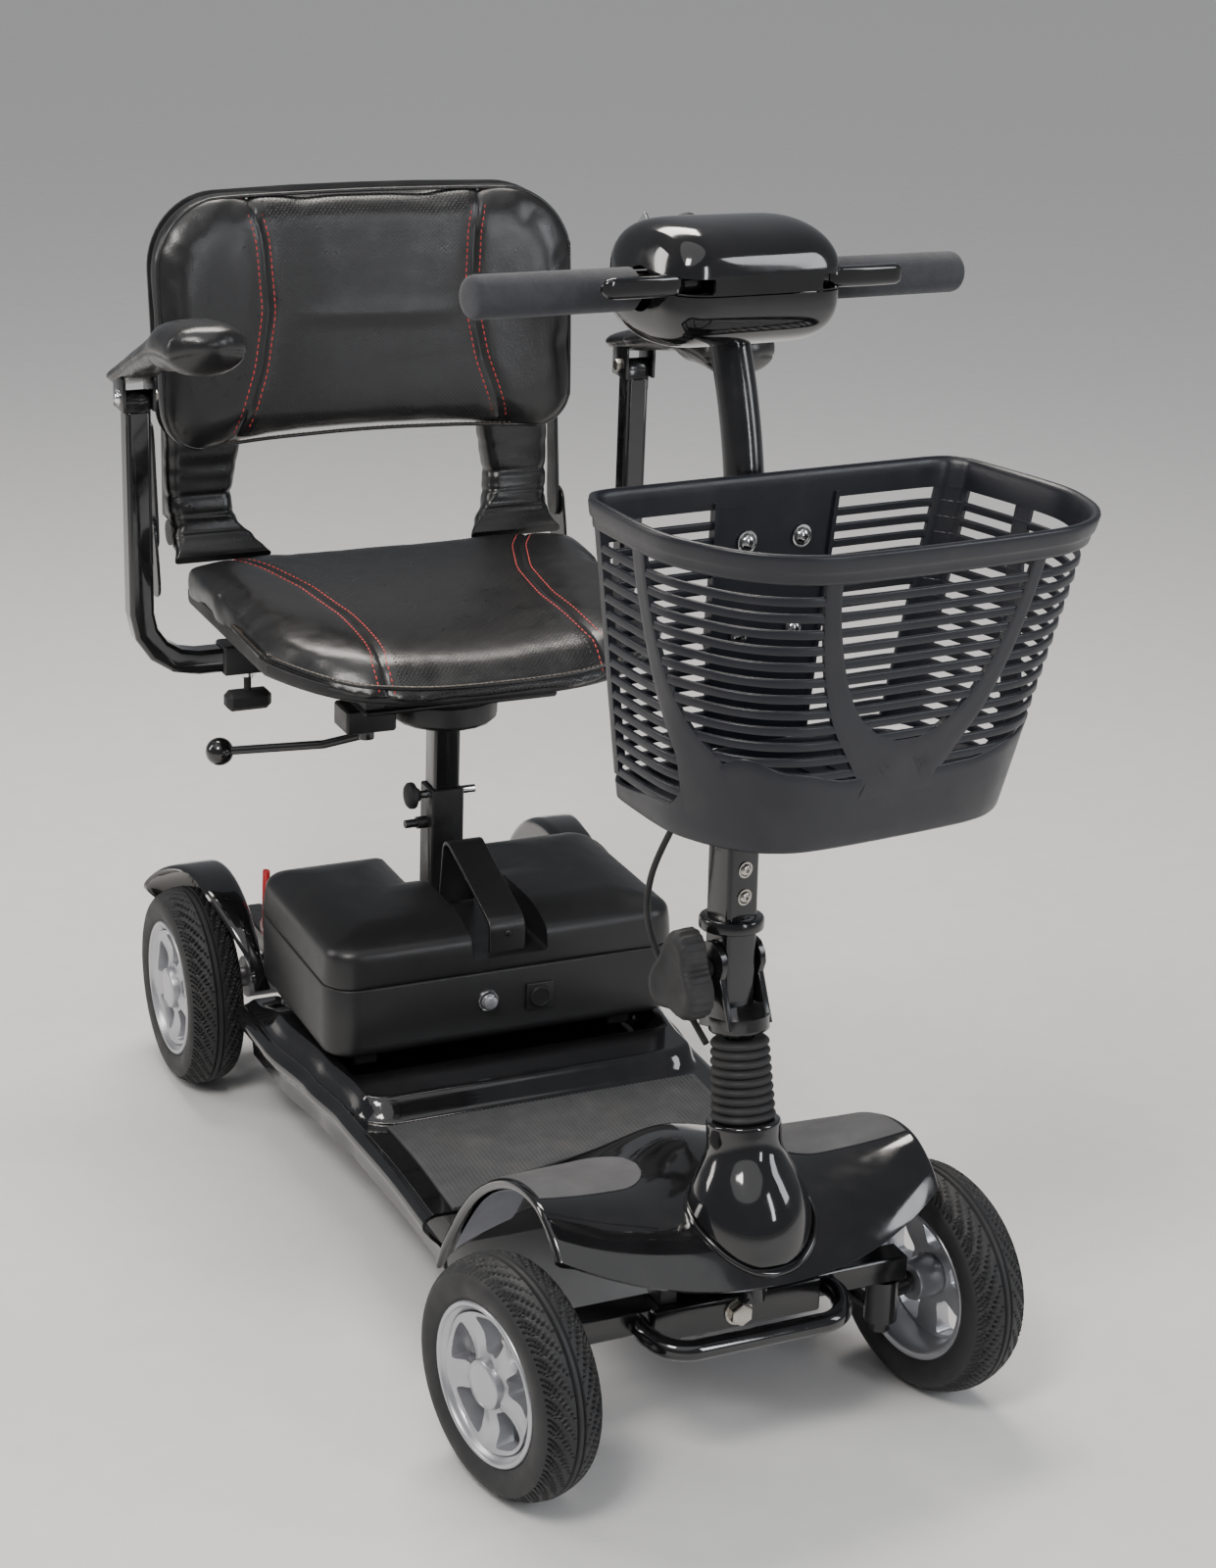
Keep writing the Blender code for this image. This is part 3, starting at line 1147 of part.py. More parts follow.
# ---------------------------------------------------------------- wiring
def make_cable(steering):
    """The loom from the tiller down into the boot's rear, held at both ends."""
    route = [
        at(-0.012, 0.0560, 0.5600), at(-0.026, 0.0620, 0.5360), at(-0.036, 0.0720, 0.5040),
        at(-0.040, 0.0830, 0.4680), at(-0.036, 0.0880, 0.4320), at(-0.026, 0.0800, 0.3960),
        at(-0.016, 0.0620, 0.3680), at(-0.011, 0.0460, 0.3500), at(-0.010, 0.0330, 0.3400),
    ]
    spline_points = smooth_path(route, 0.016)
    curve = bpy.data.curves.new("wiring_cable", "CURVE")
    curve.dimensions = "3D"
    curve.bevel_depth = 0.0027
    curve.bevel_resolution = 1
    curve.use_fill_caps = True
    spline = curve.splines.new("POLY")
    spline.points.add(len(spline_points) - 1)
    for target, point in zip(spline.points, spline_points):
        target.co = (*point, 1.0)
    cable = bpy.data.objects.new("wiring_cable", curve)
    bpy.context.collection.objects.link(cable)
    cable.data.materials.append(RUBBER)
    attach(cable, steering)


# ---------------------------------------------------------------- assembly
def build():
    make_front_axle()
    make_bumper()
    knuckles = {}
    for label, side in (("right", -1), ("left", 1)):
        knuckles[label] = make_knuckle(label, side)
        make_tie_rod(label, side, knuckles[label])
        make_wheel("front_" + label, side, FRONT_TRACK, 0.0, knuckles[label])
        make_wheel("rear_" + label, side, REAR_TRACK, WHEELBASE, None)
        make_mudguard(label, side)
    make_deck_frame()
    make_deck_shell()
    make_deck_mat()
    make_fairing()
    make_cowl()
    make_boot()
    make_rear_frame()
    make_transaxle()
    make_freewheel_lever()
    make_sleeve()
    make_seat_pin()
    battery = make_battery()
    make_battery_handle(battery)
    make_battery_controls(battery)
    steering, _ = make_steering()
    tiller = make_tiller(steering)
    make_tiller_knob(tiller)
    make_basket_bracket(tiller)
    make_basket(tiller)
    make_handlebar(tiller)
    make_console(tiller)
    make_controls(tiller)
    make_cable(steering)
    post = make_seat_post()
    seat = make_seat_base(post)
    make_swivel_lever(seat)
    make_seat_cushion(seat)
    make_backrest(seat)
    for label, side in (("right", -1), ("left", 1)):
        make_armrest(label, side, seat)
    steer_to_rest(steering, knuckles)


def turn_empty(empty, axis, angle):
    empty.rotation_mode = "QUATERNION"
    empty.rotation_quaternion = Quaternion(axis, angle)


def steer_to_rest(steering, knuckles):
    """Turn the tiller, the knuckles and the tie rods together to the resting angle."""
    turn_empty(steering, STEER_AXIS, STEER_REST)
    for knuckle in knuckles.values():
        turn_empty(knuckle, Z_AXIS, STEER_REST)
        for child in knuckle.children:
            if child.name.startswith("tie_rod"):
                turn_empty(child, Z_AXIS, -STEER_REST)


build()
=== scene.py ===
"""The looks of a travel mobility scooter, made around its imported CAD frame.

It faces -Y, the rider's right is -X. Lengths are metres. Pieces on the tiller are made as they lie
with the tiller straight ahead, and turned to its resting angle as they are finished.
"""

import itertools
import json
import math

import bmesh
import bpy
import numpy as np
from mathutils import Matrix, Quaternion, Vector
from mathutils.bvhtree import BVHTree

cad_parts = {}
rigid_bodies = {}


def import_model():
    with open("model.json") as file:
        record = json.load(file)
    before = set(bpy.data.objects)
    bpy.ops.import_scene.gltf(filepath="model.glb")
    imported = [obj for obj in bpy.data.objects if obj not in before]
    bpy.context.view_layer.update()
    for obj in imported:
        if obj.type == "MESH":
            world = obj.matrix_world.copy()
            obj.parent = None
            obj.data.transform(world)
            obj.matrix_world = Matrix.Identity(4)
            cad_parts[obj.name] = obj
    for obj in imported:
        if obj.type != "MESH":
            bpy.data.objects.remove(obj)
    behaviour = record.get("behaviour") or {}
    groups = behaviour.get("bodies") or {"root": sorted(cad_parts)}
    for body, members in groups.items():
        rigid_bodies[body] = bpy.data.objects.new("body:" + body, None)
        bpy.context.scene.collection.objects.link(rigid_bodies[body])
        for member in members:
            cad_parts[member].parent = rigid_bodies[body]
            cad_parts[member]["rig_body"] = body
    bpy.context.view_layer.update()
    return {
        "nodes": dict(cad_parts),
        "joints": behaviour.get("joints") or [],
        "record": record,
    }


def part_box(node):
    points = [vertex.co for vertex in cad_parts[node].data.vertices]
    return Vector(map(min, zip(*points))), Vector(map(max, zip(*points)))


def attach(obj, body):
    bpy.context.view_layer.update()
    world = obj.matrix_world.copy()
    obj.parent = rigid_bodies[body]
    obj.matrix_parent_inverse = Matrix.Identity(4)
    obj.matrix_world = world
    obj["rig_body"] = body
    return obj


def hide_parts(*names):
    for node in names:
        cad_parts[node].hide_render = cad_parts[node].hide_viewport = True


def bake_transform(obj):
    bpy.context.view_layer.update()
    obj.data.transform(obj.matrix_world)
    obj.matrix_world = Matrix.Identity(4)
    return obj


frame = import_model()
X_AXIS, Y_AXIS, Z_AXIS = Vector((1, 0, 0)), Vector((0, 1, 0)), Vector((0, 0, 1))
SIDES = (("right", -1), ("left", 1))
SHARP = 38  # edges over this angle in degrees stay sharp


def link(name, data):
    """A new object in the scene."""
    item = bpy.data.objects.new(name, data)
    bpy.context.collection.objects.link(item)
    return item


def as_mesh(name, bm):
    """The mesh of a bmesh, which is freed."""
    mesh = bpy.data.meshes.new(name)
    bm.to_mesh(mesh)
    bm.free()
    return mesh


# ---------------------------------------------------------------- places read from the frame
def middle_of(node):
    lo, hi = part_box(node)
    return (lo + hi) / 2


JOINTS = {joint["name"]: joint for joint in frame["joints"]}
FRONT_AXLE_Y = (middle_of("tyre_front_right").y + middle_of("tyre_front_left").y) / 2
AXLE_Z = middle_of("tyre_rear_right").z
WHEELBASE = middle_of("tyre_rear_right").y - FRONT_AXLE_Y
STEER_POINT = Vector(JOINTS["steering_turn"]["pos_m"])
STEER_AXIS = Vector(JOINTS["steering_turn"]["axis"]).normalized()
STEER_TILT = math.atan2(STEER_AXIS.y, STEER_AXIS.z)
WHEEL_AXIS = Vector(JOINTS["wheel_front_right_spin"]["axis"])
STEER_REST = math.atan2(WHEEL_AXIS.y, WHEEL_AXIS.x)


def about(point, turn):
    return Matrix.Translation(point) @ turn @ Matrix.Translation(-point)


TURNED = about(STEER_POINT, Matrix.Rotation(STEER_REST, 4, STEER_AXIS))
REST = {name: TURNED for name in ("steering", "tiller", "clamp_knob", "dial", "key", "horn", "throttle")}
for label, _ in SIDES:
    kingpin = Vector(JOINTS["knuckle_" + label + "_turn"]["pos_m"])
    for name in (label + "_knuckle", "wheel_front_" + label):
        REST[name] = about(kingpin, Matrix.Rotation(STEER_REST, 4, "Z"))


def at(x, station, z):
    """The point at a side offset, a station behind the front axle and a height."""
    return Vector((x, FRONT_AXLE_Y + station, z))


def steer_point(z):
    """The point of the tilted steering axis at height z."""
    return Vector((0.0, STEER_POINT.y + (z - STEER_POINT.z) * math.tan(STEER_TILT), z))


# ---------------------------------------------------------------- camera
CAMERA_POINT = Vector((-0.99428, FRONT_AXLE_Y - 1.85863, 1.35514))
CAMERA_AZIMUTH = math.radians(25.080)
CAMERA_DOWN = math.radians(20.580)
CAMERA_ROLL = math.radians(2.131)
SENSOR_MM, LENS_MM, SEEN_TO = 36.0, 68.0, 20.0


def make_camera():
    ahead = Vector((math.sin(CAMERA_AZIMUTH) * math.cos(CAMERA_DOWN),
                    math.cos(CAMERA_AZIMUTH) * math.cos(CAMERA_DOWN), -math.sin(CAMERA_DOWN)))
    flat = Vector((math.cos(CAMERA_AZIMUTH), -math.sin(CAMERA_AZIMUTH), 0.0))
    over = flat.cross(ahead)
    right = flat * math.cos(CAMERA_ROLL) + over * math.sin(CAMERA_ROLL)
    up = over * math.cos(CAMERA_ROLL) - flat * math.sin(CAMERA_ROLL)
    data = bpy.data.cameras.new("camera")
    data.sensor_fit = "VERTICAL"
    data.sensor_height = SENSOR_MM
    data.lens = LENS_MM
    data.clip_end = SEEN_TO
    camera = link("camera", data)
    place = Matrix((right, up, -ahead)).transposed().to_4x4()
    camera.matrix_world = Matrix.Translation(CAMERA_POINT) @ place
    bpy.context.scene.camera = camera


make_camera()


# ---------------------------------------------------------------- materials
DUST = (0.23, 0.205, 0.18)
HOLE_PITCH = 0.0031


def add_node(tree, kind, output, inputs, **settings):
    """Add a shader node and return one of its outputs; each input is a value or the socket that feeds it."""
    node = tree.nodes.new("ShaderNode" + kind)
    for key, value in settings.items():
        setattr(node, key, value)
    for key, value in inputs.items():
        if isinstance(value, bpy.types.NodeSocket):
            tree.links.new(value, node.inputs[key])
        else:
            node.inputs[key].default_value = value
    return node.outputs[output]


def mix(tree, factor, first, second):
    """A blend of two colours, each a tuple or a socket."""
    first, second = ((*side, 1.0) if isinstance(side, tuple) else side for side in (first, second))
    return add_node(tree, "Mix", 2, {"Factor": factor, 6: first, 7: second}, data_type="RGBA")


def ramp(tree, value, low, high, out_low=0.0, out_high=1.0):
    return add_node(tree, "MapRange", "Result", {"From Min": low, "From Max": high, "To Min": out_low,
                                                 "To Max": out_high, "Value": value})


def bumped(tree, height, distance, below=None, invert=False):
    """A bump of a height in metres, on top of the bump below it."""
    inputs = {"Strength": 1.0, "Distance": distance, "Height": height}
    if below is not None:
        inputs["Normal"] = below
    return add_node(tree, "Bump", "Normal", inputs, invert=invert)


def look(name, colour, rough, metal=0.0, coat=0.0, coat_rough=0.05, tone=0.18, tone_scale=30.0,
         spread=0.07, grain=(), dust=0.0, sheen=0.0, specular=0.5, scratch=0.0):
    """A procedural finish: mottled colour, uneven roughness, bump layers, dust and light wear.

    Each grain layer is (kind, cells per metre, height in metres)."""
    mat = bpy.data.materials.new(name)
    mat.use_nodes = True
    tree = mat.node_tree
    shader = tree.nodes["Principled BSDF"]
    for key, value in (("Metallic", metal), ("Coat Weight", coat), ("Coat Roughness", coat_rough),
                       ("Sheen Weight", sheen), ("Specular IOR Level", specular)):
        shader.inputs[key].default_value = value
    place = add_node(tree, "TexCoord", "Object", {})

    def noise(scale, detail):
        return add_node(tree, "TexNoise", "Fac", {"Scale": scale, "Detail": detail, "Vector": place})

    darker = tuple(c * (1 - tone) for c in colour)
    lighter = tuple(min(1.0, c * (1 + tone)) for c in colour)
    base = mix(tree, ramp(tree, noise(tone_scale, 6.0), 0.30, 0.70), darker, lighter)
    roughness = ramp(tree, noise(tone_scale * 2.3, 5.0), 0.30, 0.70, max(0.02, rough - spread),
                     min(1.0, rough + spread))
    if dust:
        base = mix(tree, ramp(tree, noise(18.0, 8.0), 0.52, 0.80, 0.0, dust), base, DUST)
    if scratch:
        worn = ramp(tree, add_node(tree, "NewGeometry", "Pointiness", {}), 0.53, 0.62, 0.0, scratch)
        base = mix(tree, worn, base, tuple(min(1.0, c * 2.2 + 0.10) for c in colour))
    tree.links.new(base, shader.inputs["Base Color"])
    tree.links.new(roughness, shader.inputs["Roughness"])
    normal = None
    for kind, scale, height in grain:
        if kind == "cells":
            value = add_node(tree, "TexVoronoi", "Distance", {"Scale": scale, "Vector": place},
                             feature="SMOOTH_F1")
        else:
            value = noise(scale, 3.0)
        normal = bumped(tree, value, height, normal)
    if normal is not None:
        tree.links.new(normal, shader.inputs["Normal"])
    return mat


GLOSS = look("gloss_black_paint", (0.0065, 0.0065, 0.0072), 0.10, coat=0.6, coat_rough=0.04, tone=0.25,
             spread=0.05, grain=(("noise", 330.0, 0.000012),), dust=0.03)
FRAME = look("powder_coat_black", (0.0115, 0.0115, 0.0125), 0.36, tone=0.22, scratch=0.25, dust=0.05,
             grain=(("noise", 1500.0, 0.00012), ("noise", 300.0, 0.0001)))
TILLER = look("gloss_powder_coat", (0.0085, 0.0085, 0.0092), 0.17, coat=0.35, coat_rough=0.10, tone=0.22,
              grain=(("noise", 900.0, 0.00006),))
PLASTIC = look("satin_moulded_plastic", (0.0125, 0.0125, 0.0135), 0.40, tone=0.15, spread=0.09,
               grain=(("cells", 1600.0, 0.00007), ("noise", 260.0, 0.00010)), dust=0.10)
CASE = look("battery_case_plastic", (0.0115, 0.0115, 0.0122), 0.36, tone=0.08, spread=0.03,
            grain=(("cells", 1500.0, 0.00006), ("noise", 900.0, 0.00003)), dust=0.02)
SLATE = look("basket_slate_plastic", (0.0085, 0.0094, 0.0145), 0.36, tone=0.10, spread=0.04,
             grain=(("cells", 1800.0, 0.00006), ("noise", 240.0, 0.00008)), dust=0.06)
SOFT_BLACK = look("soft_black_rubber", (0.0135, 0.0135, 0.0145), 0.62, tone=0.2, dust=0.12,
                  grain=(("noise", 1100.0, 0.00012),))
TYRE = look("tyre_rubber", (0.0120, 0.0125, 0.0138), 0.60, tone=0.18, spread=0.06, dust=0.10,
            grain=(("noise", 1500.0, 0.00008), ("noise", 260.0, 0.00006)))
MAT = look("deck_mat_rubber", (0.0460, 0.0470, 0.0500), 0.78, tone=0.16, tone_scale=45.0, dust=0.16,
           grain=(("noise", 1700.0, 0.00022), ("cells", 900.0, 0.00012)))
INSERT = look("footrest_insert_rubber", (0.0800, 0.0800, 0.0840), 0.78, tone=0.14, dust=0.12,
              grain=(("cells", 1100.0, 0.00030),))
FOAM = look("grip_foam", (0.0290, 0.0305, 0.0370), 0.88, tone=0.14, tone_scale=90.0, sheen=0.15,
            grain=(("cells", 1500.0, 0.00026), ("noise", 700.0, 0.00020)))
SILVER = look("rim_silver_paint", (0.46, 0.465, 0.49), 0.33, metal=0.78, coat=0.25, coat_rough=0.14,
              tone=0.06, spread=0.04, grain=(("noise", 2600.0, 0.00001),), dust=0.08)
STEEL = look("bright_steel", (0.58, 0.57, 0.56), 0.22, metal=1.0, tone=0.10, spread=0.07,
             grain=(("noise", 1500.0, 0.000008),))
CHROME = look("chrome_plate", (0.75, 0.75, 0.76), 0.09, metal=1.0, tone=0.05, spread=0.04)
ZINC = look("zinc_bolt", (0.46, 0.44, 0.40), 0.30, metal=1.0, tone=0.16, grain=(("noise", 900.0, 0.00005),))
CAST = look("cast_alloy", (0.28, 0.28, 0.29), 0.46, metal=0.9, tone=0.2, dust=0.18,
            grain=(("noise", 700.0, 0.00030),))
RED = look("red_plastic", (0.48, 0.018, 0.022), 0.34, tone=0.12, coat=0.2, grain=(("noise", 600.0, 0.00005),))
LINER = look("pale_arch_liner", (0.30, 0.31, 0.36), 0.45, tone=0.10, grain=(("noise", 900.0, 0.0001),),
             dust=0.15)
MARKING = look("pale_dial_marking", (0.60, 0.60, 0.58), 0.45, tone=0.05)
GREEN = look("green_lamp_lens", (0.03, 0.30, 0.06), 0.18, coat=0.5, tone=0.1)
THREAD = look("red_thread", (0.62, 0.035, 0.030), 0.60, tone=0.20, tone_scale=500.0, sheen=0.2,
              grain=(("noise", 3000.0, 0.00010),))
# tan stitch colour for the welts: a painted highlight, standing in for the warm light on the lower edges
TAN_THREAD_HIGHLIGHT = look("tan_thread_painted_highlight", (0.17, 0.125, 0.085), 0.60, tone=0.2, tone_scale=400.0,
            grain=(("noise", 2600.0, 0.0001),))
PAN = look("seat_pan_plastic", (0.0120, 0.0120, 0.0130), 0.50, tone=0.15, dust=0.08,
           grain=(("cells", 1300.0, 0.00010),))


def leather(name, colour, rough, perforated=False):
    """Grained leatherette, with rows of fine holes where the perforated attribute is 1; each hole is darkened
    with painted shade.
    """
    grain = (("cells", 900.0, 0.00010), ("noise", 420.0, 0.00010), ("noise", 50.0, 0.00035))
    mat = look(name, colour, rough, tone=0.16, tone_scale=22.0, spread=0.05, specular=0.60, coat=0.12,
               coat_rough=0.28, grain=grain)
    if not perforated:
        return mat
    tree = mat.node_tree
    colour_in, normal_in = (tree.nodes["Principled BSDF"].inputs[key] for key in ("Base Color", "Normal"))
    mask = add_node(tree, "Attribute", "Fac", {}, attribute_name="perforated")
    across = add_node(tree, "Attribute", "Vector", {}, attribute_name="weave_place")
    turn = add_node(tree, "Mapping", "Vector", {"Rotation": (0.0, 0.0, math.radians(45)), "Vector": across})
    pattern = {"Scale": 1 / HOLE_PITCH, "Randomness": 0.0, "Vector": turn}
    dots = add_node(tree, "TexVoronoi", "Distance", pattern, voronoi_dimensions="2D")
    hole = ramp(tree, dots, 0.20, 0.34, 1.0, 0.0)
    both = add_node(tree, "Math", "Value", {0: hole, 1: mask}, operation="MULTIPLY")
    # painted shade: the holes are coloured near-black to stand for the shade inside them
    hole_shade = mix(tree, both, colour_in.links[0].from_socket, (0.0015, 0.0015, 0.0018))
    tree.links.new(hole_shade, colour_in)
    sunk = bumped(tree, both, 0.0006, normal_in.links[0].from_socket, invert=True)
    tree.links.new(sunk, normal_in)
    return mat


LEATHER = leather("black_leatherette", (0.0082, 0.0080, 0.0084), 0.30)
PERFORATED = leather("perforated_leatherette", (0.0084, 0.0082, 0.0086), 0.32, perforated=True)


# ---------------------------------------------------------------- meshes
def soften(piece, width, angle=35):
    """Round the edges of a piece that turn by more than an angle in degrees."""
    step = piece.modifiers.new("soften", "BEVEL")
    step.width = width
    step.segments = 2
    step.limit_method = "ANGLE"
    step.angle_limit = math.radians(angle)


def put(name, mesh, finish, body, nodes=(), sharp=SHARP, bevel=0.0, ride=True):
    """Make a mesh a named piece on a body; it stands for the listed CAD nodes."""
    piece = link(name, mesh)
    mesh.materials.clear()
    mesh.materials.append(finish)
    mesh.shade_smooth()
    mesh.set_sharp_from_angle(angle=math.radians(sharp))
    if bevel:
        soften(piece, bevel)
    if nodes:
        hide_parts(*nodes)
    if ride:
        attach(piece, body)
    return piece


WASHER_THICK = 0.0008


def solid(name, bm, finish, body, nodes=(), sharp=SHARP, bevel=0.0):
    """Finish a bmesh made with the tiller straight, and turn it to rest with its body."""
    bmesh.ops.remove_doubles(bm, verts=bm.verts, dist=2e-6)
    bmesh.ops.recalc_face_normals(bm, faces=bm.faces)
    if body in REST:
        bm.transform(REST[body])
    return put(name, as_mesh(name, bm), finish, body, nodes, sharp, bevel)


def grid(rows, bm=None, around=False, along=False, caps=False):
    """Faces through rows of points; around closes each row, along joins the last row to the first."""
    bm = bm or bmesh.new()
    verts = [[bm.verts.new(point) for point in row] for row in rows]
    columns = len(verts[0])
    pairs = list(zip(verts, verts[1:]))
    if along:
        pairs.append((verts[-1], verts[0]))
    for first, second in pairs:
        for i in range(columns if around else columns - 1):
            j = (i + 1) % columns
            bm.faces.new((first[i], first[j], second[j], second[i]))
    if caps:
        bm.faces.new(list(reversed(verts[0])))
        bm.faces.new(verts[-1])
    return bm


def loft(rings, bm=None):
    return grid(rings, bm, around=True, caps=True)


def turns(steps):
    """The angles of a full circle in equal steps."""
    return [2 * math.pi * i / steps for i in range(steps)]


def ease(value):
    """0 to 1 with a soft start and end."""
    value = max(0.0, min(1.0, value))
    return value * value * (3 - 2 * value)


def curve_point(points, k, closed=False):
    """A point on the Catmull-Rom curve through points, at index k."""
    count = len(points)
    i = int(math.floor(k))
    if not closed:
        i = max(0, min(i, count - 2))
    t = k - i
    if closed:
        p0, p1, p2, p3 = (points[(i + j) % count] for j in (-1, 0, 1, 2))
    else:
        p0, p1, p2, p3 = (points[max(0, min(i + j, count - 1))] for j in (-1, 0, 1, 2))
    return (p1 * (2 * t**3 - 3 * t**2 + 1) + (p2 - p0) * 0.5 * (t**3 - 2 * t**2 + t)
            + p2 * (3 * t**2 - 2 * t**3) + (p3 - p1) * 0.5 * (t**3 - t**2))


def fine(points, per_span, closed=False):
    """A smooth curve through points, per_span points to a span."""
    count = len(points) if closed else len(points) - 1
    result = [curve_point(points, i / per_span, closed) for i in range(count * per_span)]
    return result if closed else result + [points[-1]]


def pairs_fine(pairs, per_span):
    """The same for pairs of numbers."""
    return [(p.x, p.y) for p in fine([Vector((a, b, 0)) for a, b in pairs], per_span)]


def side_vector(direction):
    other = X_AXIS if abs(direction.x) < 0.9 else Y_AXIS
    return direction.cross(other).normalized()


def turned(profile, start, direction, steps=48, bm=None):
    """A solid turned round an axis from (radius, distance) points; radius 0 is a pole."""
    bm = bm or bmesh.new()
    axis = direction.normalized()
    side = side_vector(axis)
    over = axis.cross(side)
    spokes = [side * math.cos(turn) + over * math.sin(turn) for turn in turns(steps)]
    rows = []
    for radius, distance in profile:
        centre = start + axis * distance
        if radius == 0.0:
            rows.append([bm.verts.new(centre)])
        else:
            rows.append([bm.verts.new(centre + spoke * radius) for spoke in spokes])
    closed = len(rows[0]) > 1
    for first, second in zip(rows, rows[1:] + rows[:1]) if closed else zip(rows, rows[1:]):
        for i in range(steps):
            j = (i + 1) % steps
            if len(first) == 1 and len(second) == 1:
                break
            if len(first) == 1:
                bm.faces.new((first[0], second[i], second[j]))
            elif len(second) == 1:
                bm.faces.new((first[i], first[j], second[0]))
            else:
                bm.faces.new((first[i], first[j], second[j], second[i]))
    return bm


def soft_rod(start, end, radius, edge=0.0008, steps=24, bm=None):
    """A round bar with softened ends."""
    length = (end - start).length
    profile = [(0, 0), (radius - edge, 0), (radius - edge * 0.3, edge * 0.3), (radius, edge),
               (radius, length - edge), (radius - edge * 0.3, length - edge * 0.3), (radius - edge, length),
               (0, length)]
    return turned(profile, start, end - start, steps, bm)


def join(bm, part):
    """Add the faces of a part to a bmesh, and free the part."""
    mesh = as_mesh("join", part)
    bm.from_mesh(mesh)
    bpy.data.meshes.remove(mesh)
    return bm


def slab(lo, hi, bevel=0.0, steps=3, bm=None):
    """A box between two corners, with its edges rounded by the bevel."""
    new = bmesh.new()
    bmesh.ops.create_cube(new, size=1.0)
    bmesh.ops.scale(new, vec=Vector(hi) - Vector(lo), verts=new.verts)
    bmesh.ops.translate(new, vec=(Vector(hi) + Vector(lo)) / 2, verts=new.verts)
    if bevel:
        bmesh.ops.bevel(new, geom=list(new.edges), offset=bevel, segments=steps, profile=0.5, affect="EDGES")
    return new if bm is None else join(bm, new)


def block(x0, x1, s0, s1, z0, z1, bevel=0.0, steps=3, bm=None):
    """The same, between side offsets, stations and heights."""
    return slab(at(min(x0, x1), s0, z0), at(max(x0, x1), s1, z1), bevel, steps, bm)


def oval(points, half_a, half_b=None):
    half_b = half_a if half_b is None else half_b
    return [(half_a * math.cos(turn), half_b * math.sin(turn)) for turn in turns(points)]


def rounded_box(half_a, half_b, corner, steps=4):
    """A rectangle section with round corners."""
    points = []
    for ca, cb, start in ((half_a - corner, half_b - corner, 0), (corner - half_a, half_b - corner, 90),
                          (corner - half_a, corner - half_b, 180), (half_a - corner, corner - half_b, 270)):
        for i in range(steps + 1):
            turn = math.radians(start + 90 * i / steps)
            points.append((ca + corner * math.cos(turn), cb + corner * math.sin(turn)))
    return points


def swept(points, section, side, bm=None, closed=False, scale=None):
    """A section carried along a path; its first axis stays near the side vector."""
    rings = []
    last = len(points) - 1
    for i, point in enumerate(points):
        if closed:
            ahead = (points[(i + 1) % len(points)] - points[i - 1]).normalized()
        else:
            ahead = (points[min(i + 1, last)] - points[max(i - 1, 0)]).normalized()
        near = side(i, point) if callable(side) else side
        first = (near - ahead * near.dot(ahead)).normalized()
        second = ahead.cross(first)
        size = scale(i / last) if scale else 1.0
        rings.append([point + first * a * size + second * b * size for a, b in section])
    if closed:
        return grid(rings, bm, around=True, along=True)
    return loft(rings, bm)


def rounded_path(corners, radius, steps=8):
    """A path through corner points, with an arc in place of each inner corner."""
    path = [corners[0]]
    for before, corner, after in zip(corners, corners[1:], corners[2:]):
        arrive = (corner - before).normalized()
        leave = (after - corner).normalized()
        bend = arrive.angle(leave)
        reach = radius * math.tan(bend / 2)
        centre = corner + (leave - arrive).normalized() * (radius / math.cos(bend / 2))
        spoke = corner - arrive * reach - centre
        normal = arrive.cross(leave).normalized()
        for i in range(steps + 1):
            path.append(centre + Quaternion(normal, bend * i / steps) @ spoke)
    path.append(corners[-1])
    return path


def blend_steps(pairs, value):
    """The value read smoothly between listed (position, value) pairs."""
    if value <= pairs[0][0]:
        return pairs[0][1]
    for (p0, v0), (p1, v1) in zip(pairs, pairs[1:]):
        if value <= p1:
            return v0 + (v1 - v0) * ease((value - p0) / (p1 - p0))
    return pairs[-1][1]


def shifted_inwards(outline, thick):
    """A flat outline moved square to itself by a thickness."""
    last = len(outline) - 1
    moved = []
    for j, p in enumerate(outline):
        run = (outline[min(j + 1, last)] - outline[max(j - 1, 0)]).normalized()
        moved.append(Vector((p.x + run.y * thick, p.y - run.x * thick, 0)))
    return moved


def dome_screw(point, direction, radius, height, name, body, finish=None, washer=0.0):
    """A button-head screw with a socket, on a washer when it is given the washer's radius."""
    axis = direction.normalized()
    bm = bmesh.new()
    base = WASHER_THICK if washer else 0.0
    if washer:
        turned([(0, 0), (washer, 0), (washer, base), (0, base)], point, axis, 28, bm)
    profile = [(0, base)]
    for i in range(7):
        turn = math.radians(90 * i / 6 * 0.80)
        profile.append((radius * math.cos(turn), base + height * math.sin(turn) / math.sin(math.radians(72))))
    profile += [(radius * 0.30, base + height), (radius * 0.27, base + height * 0.45),
                (0, base + height * 0.40)]
    turned(profile, point, axis, 28, bm)
    return solid(name, bm, finish or CHROME, body)


def cad_copy(node, finish, body, bevel=0.0008):
    """A node's own shape with welded faces and softened edges."""
    bm = bmesh.new()
    bm.from_mesh(frame["nodes"][node].data)
    bmesh.ops.remove_doubles(bm, verts=bm.verts, dist=5e-6)
    bmesh.ops.dissolve_limit(bm, angle_limit=math.radians(1.0), verts=bm.verts, edges=bm.edges)
    bmesh.ops.recalc_face_normals(bm, faces=bm.faces)
    name = node + "_finish"
    return put(name, as_mesh(name, bm), finish, body, (node,), SHARP, bevel)


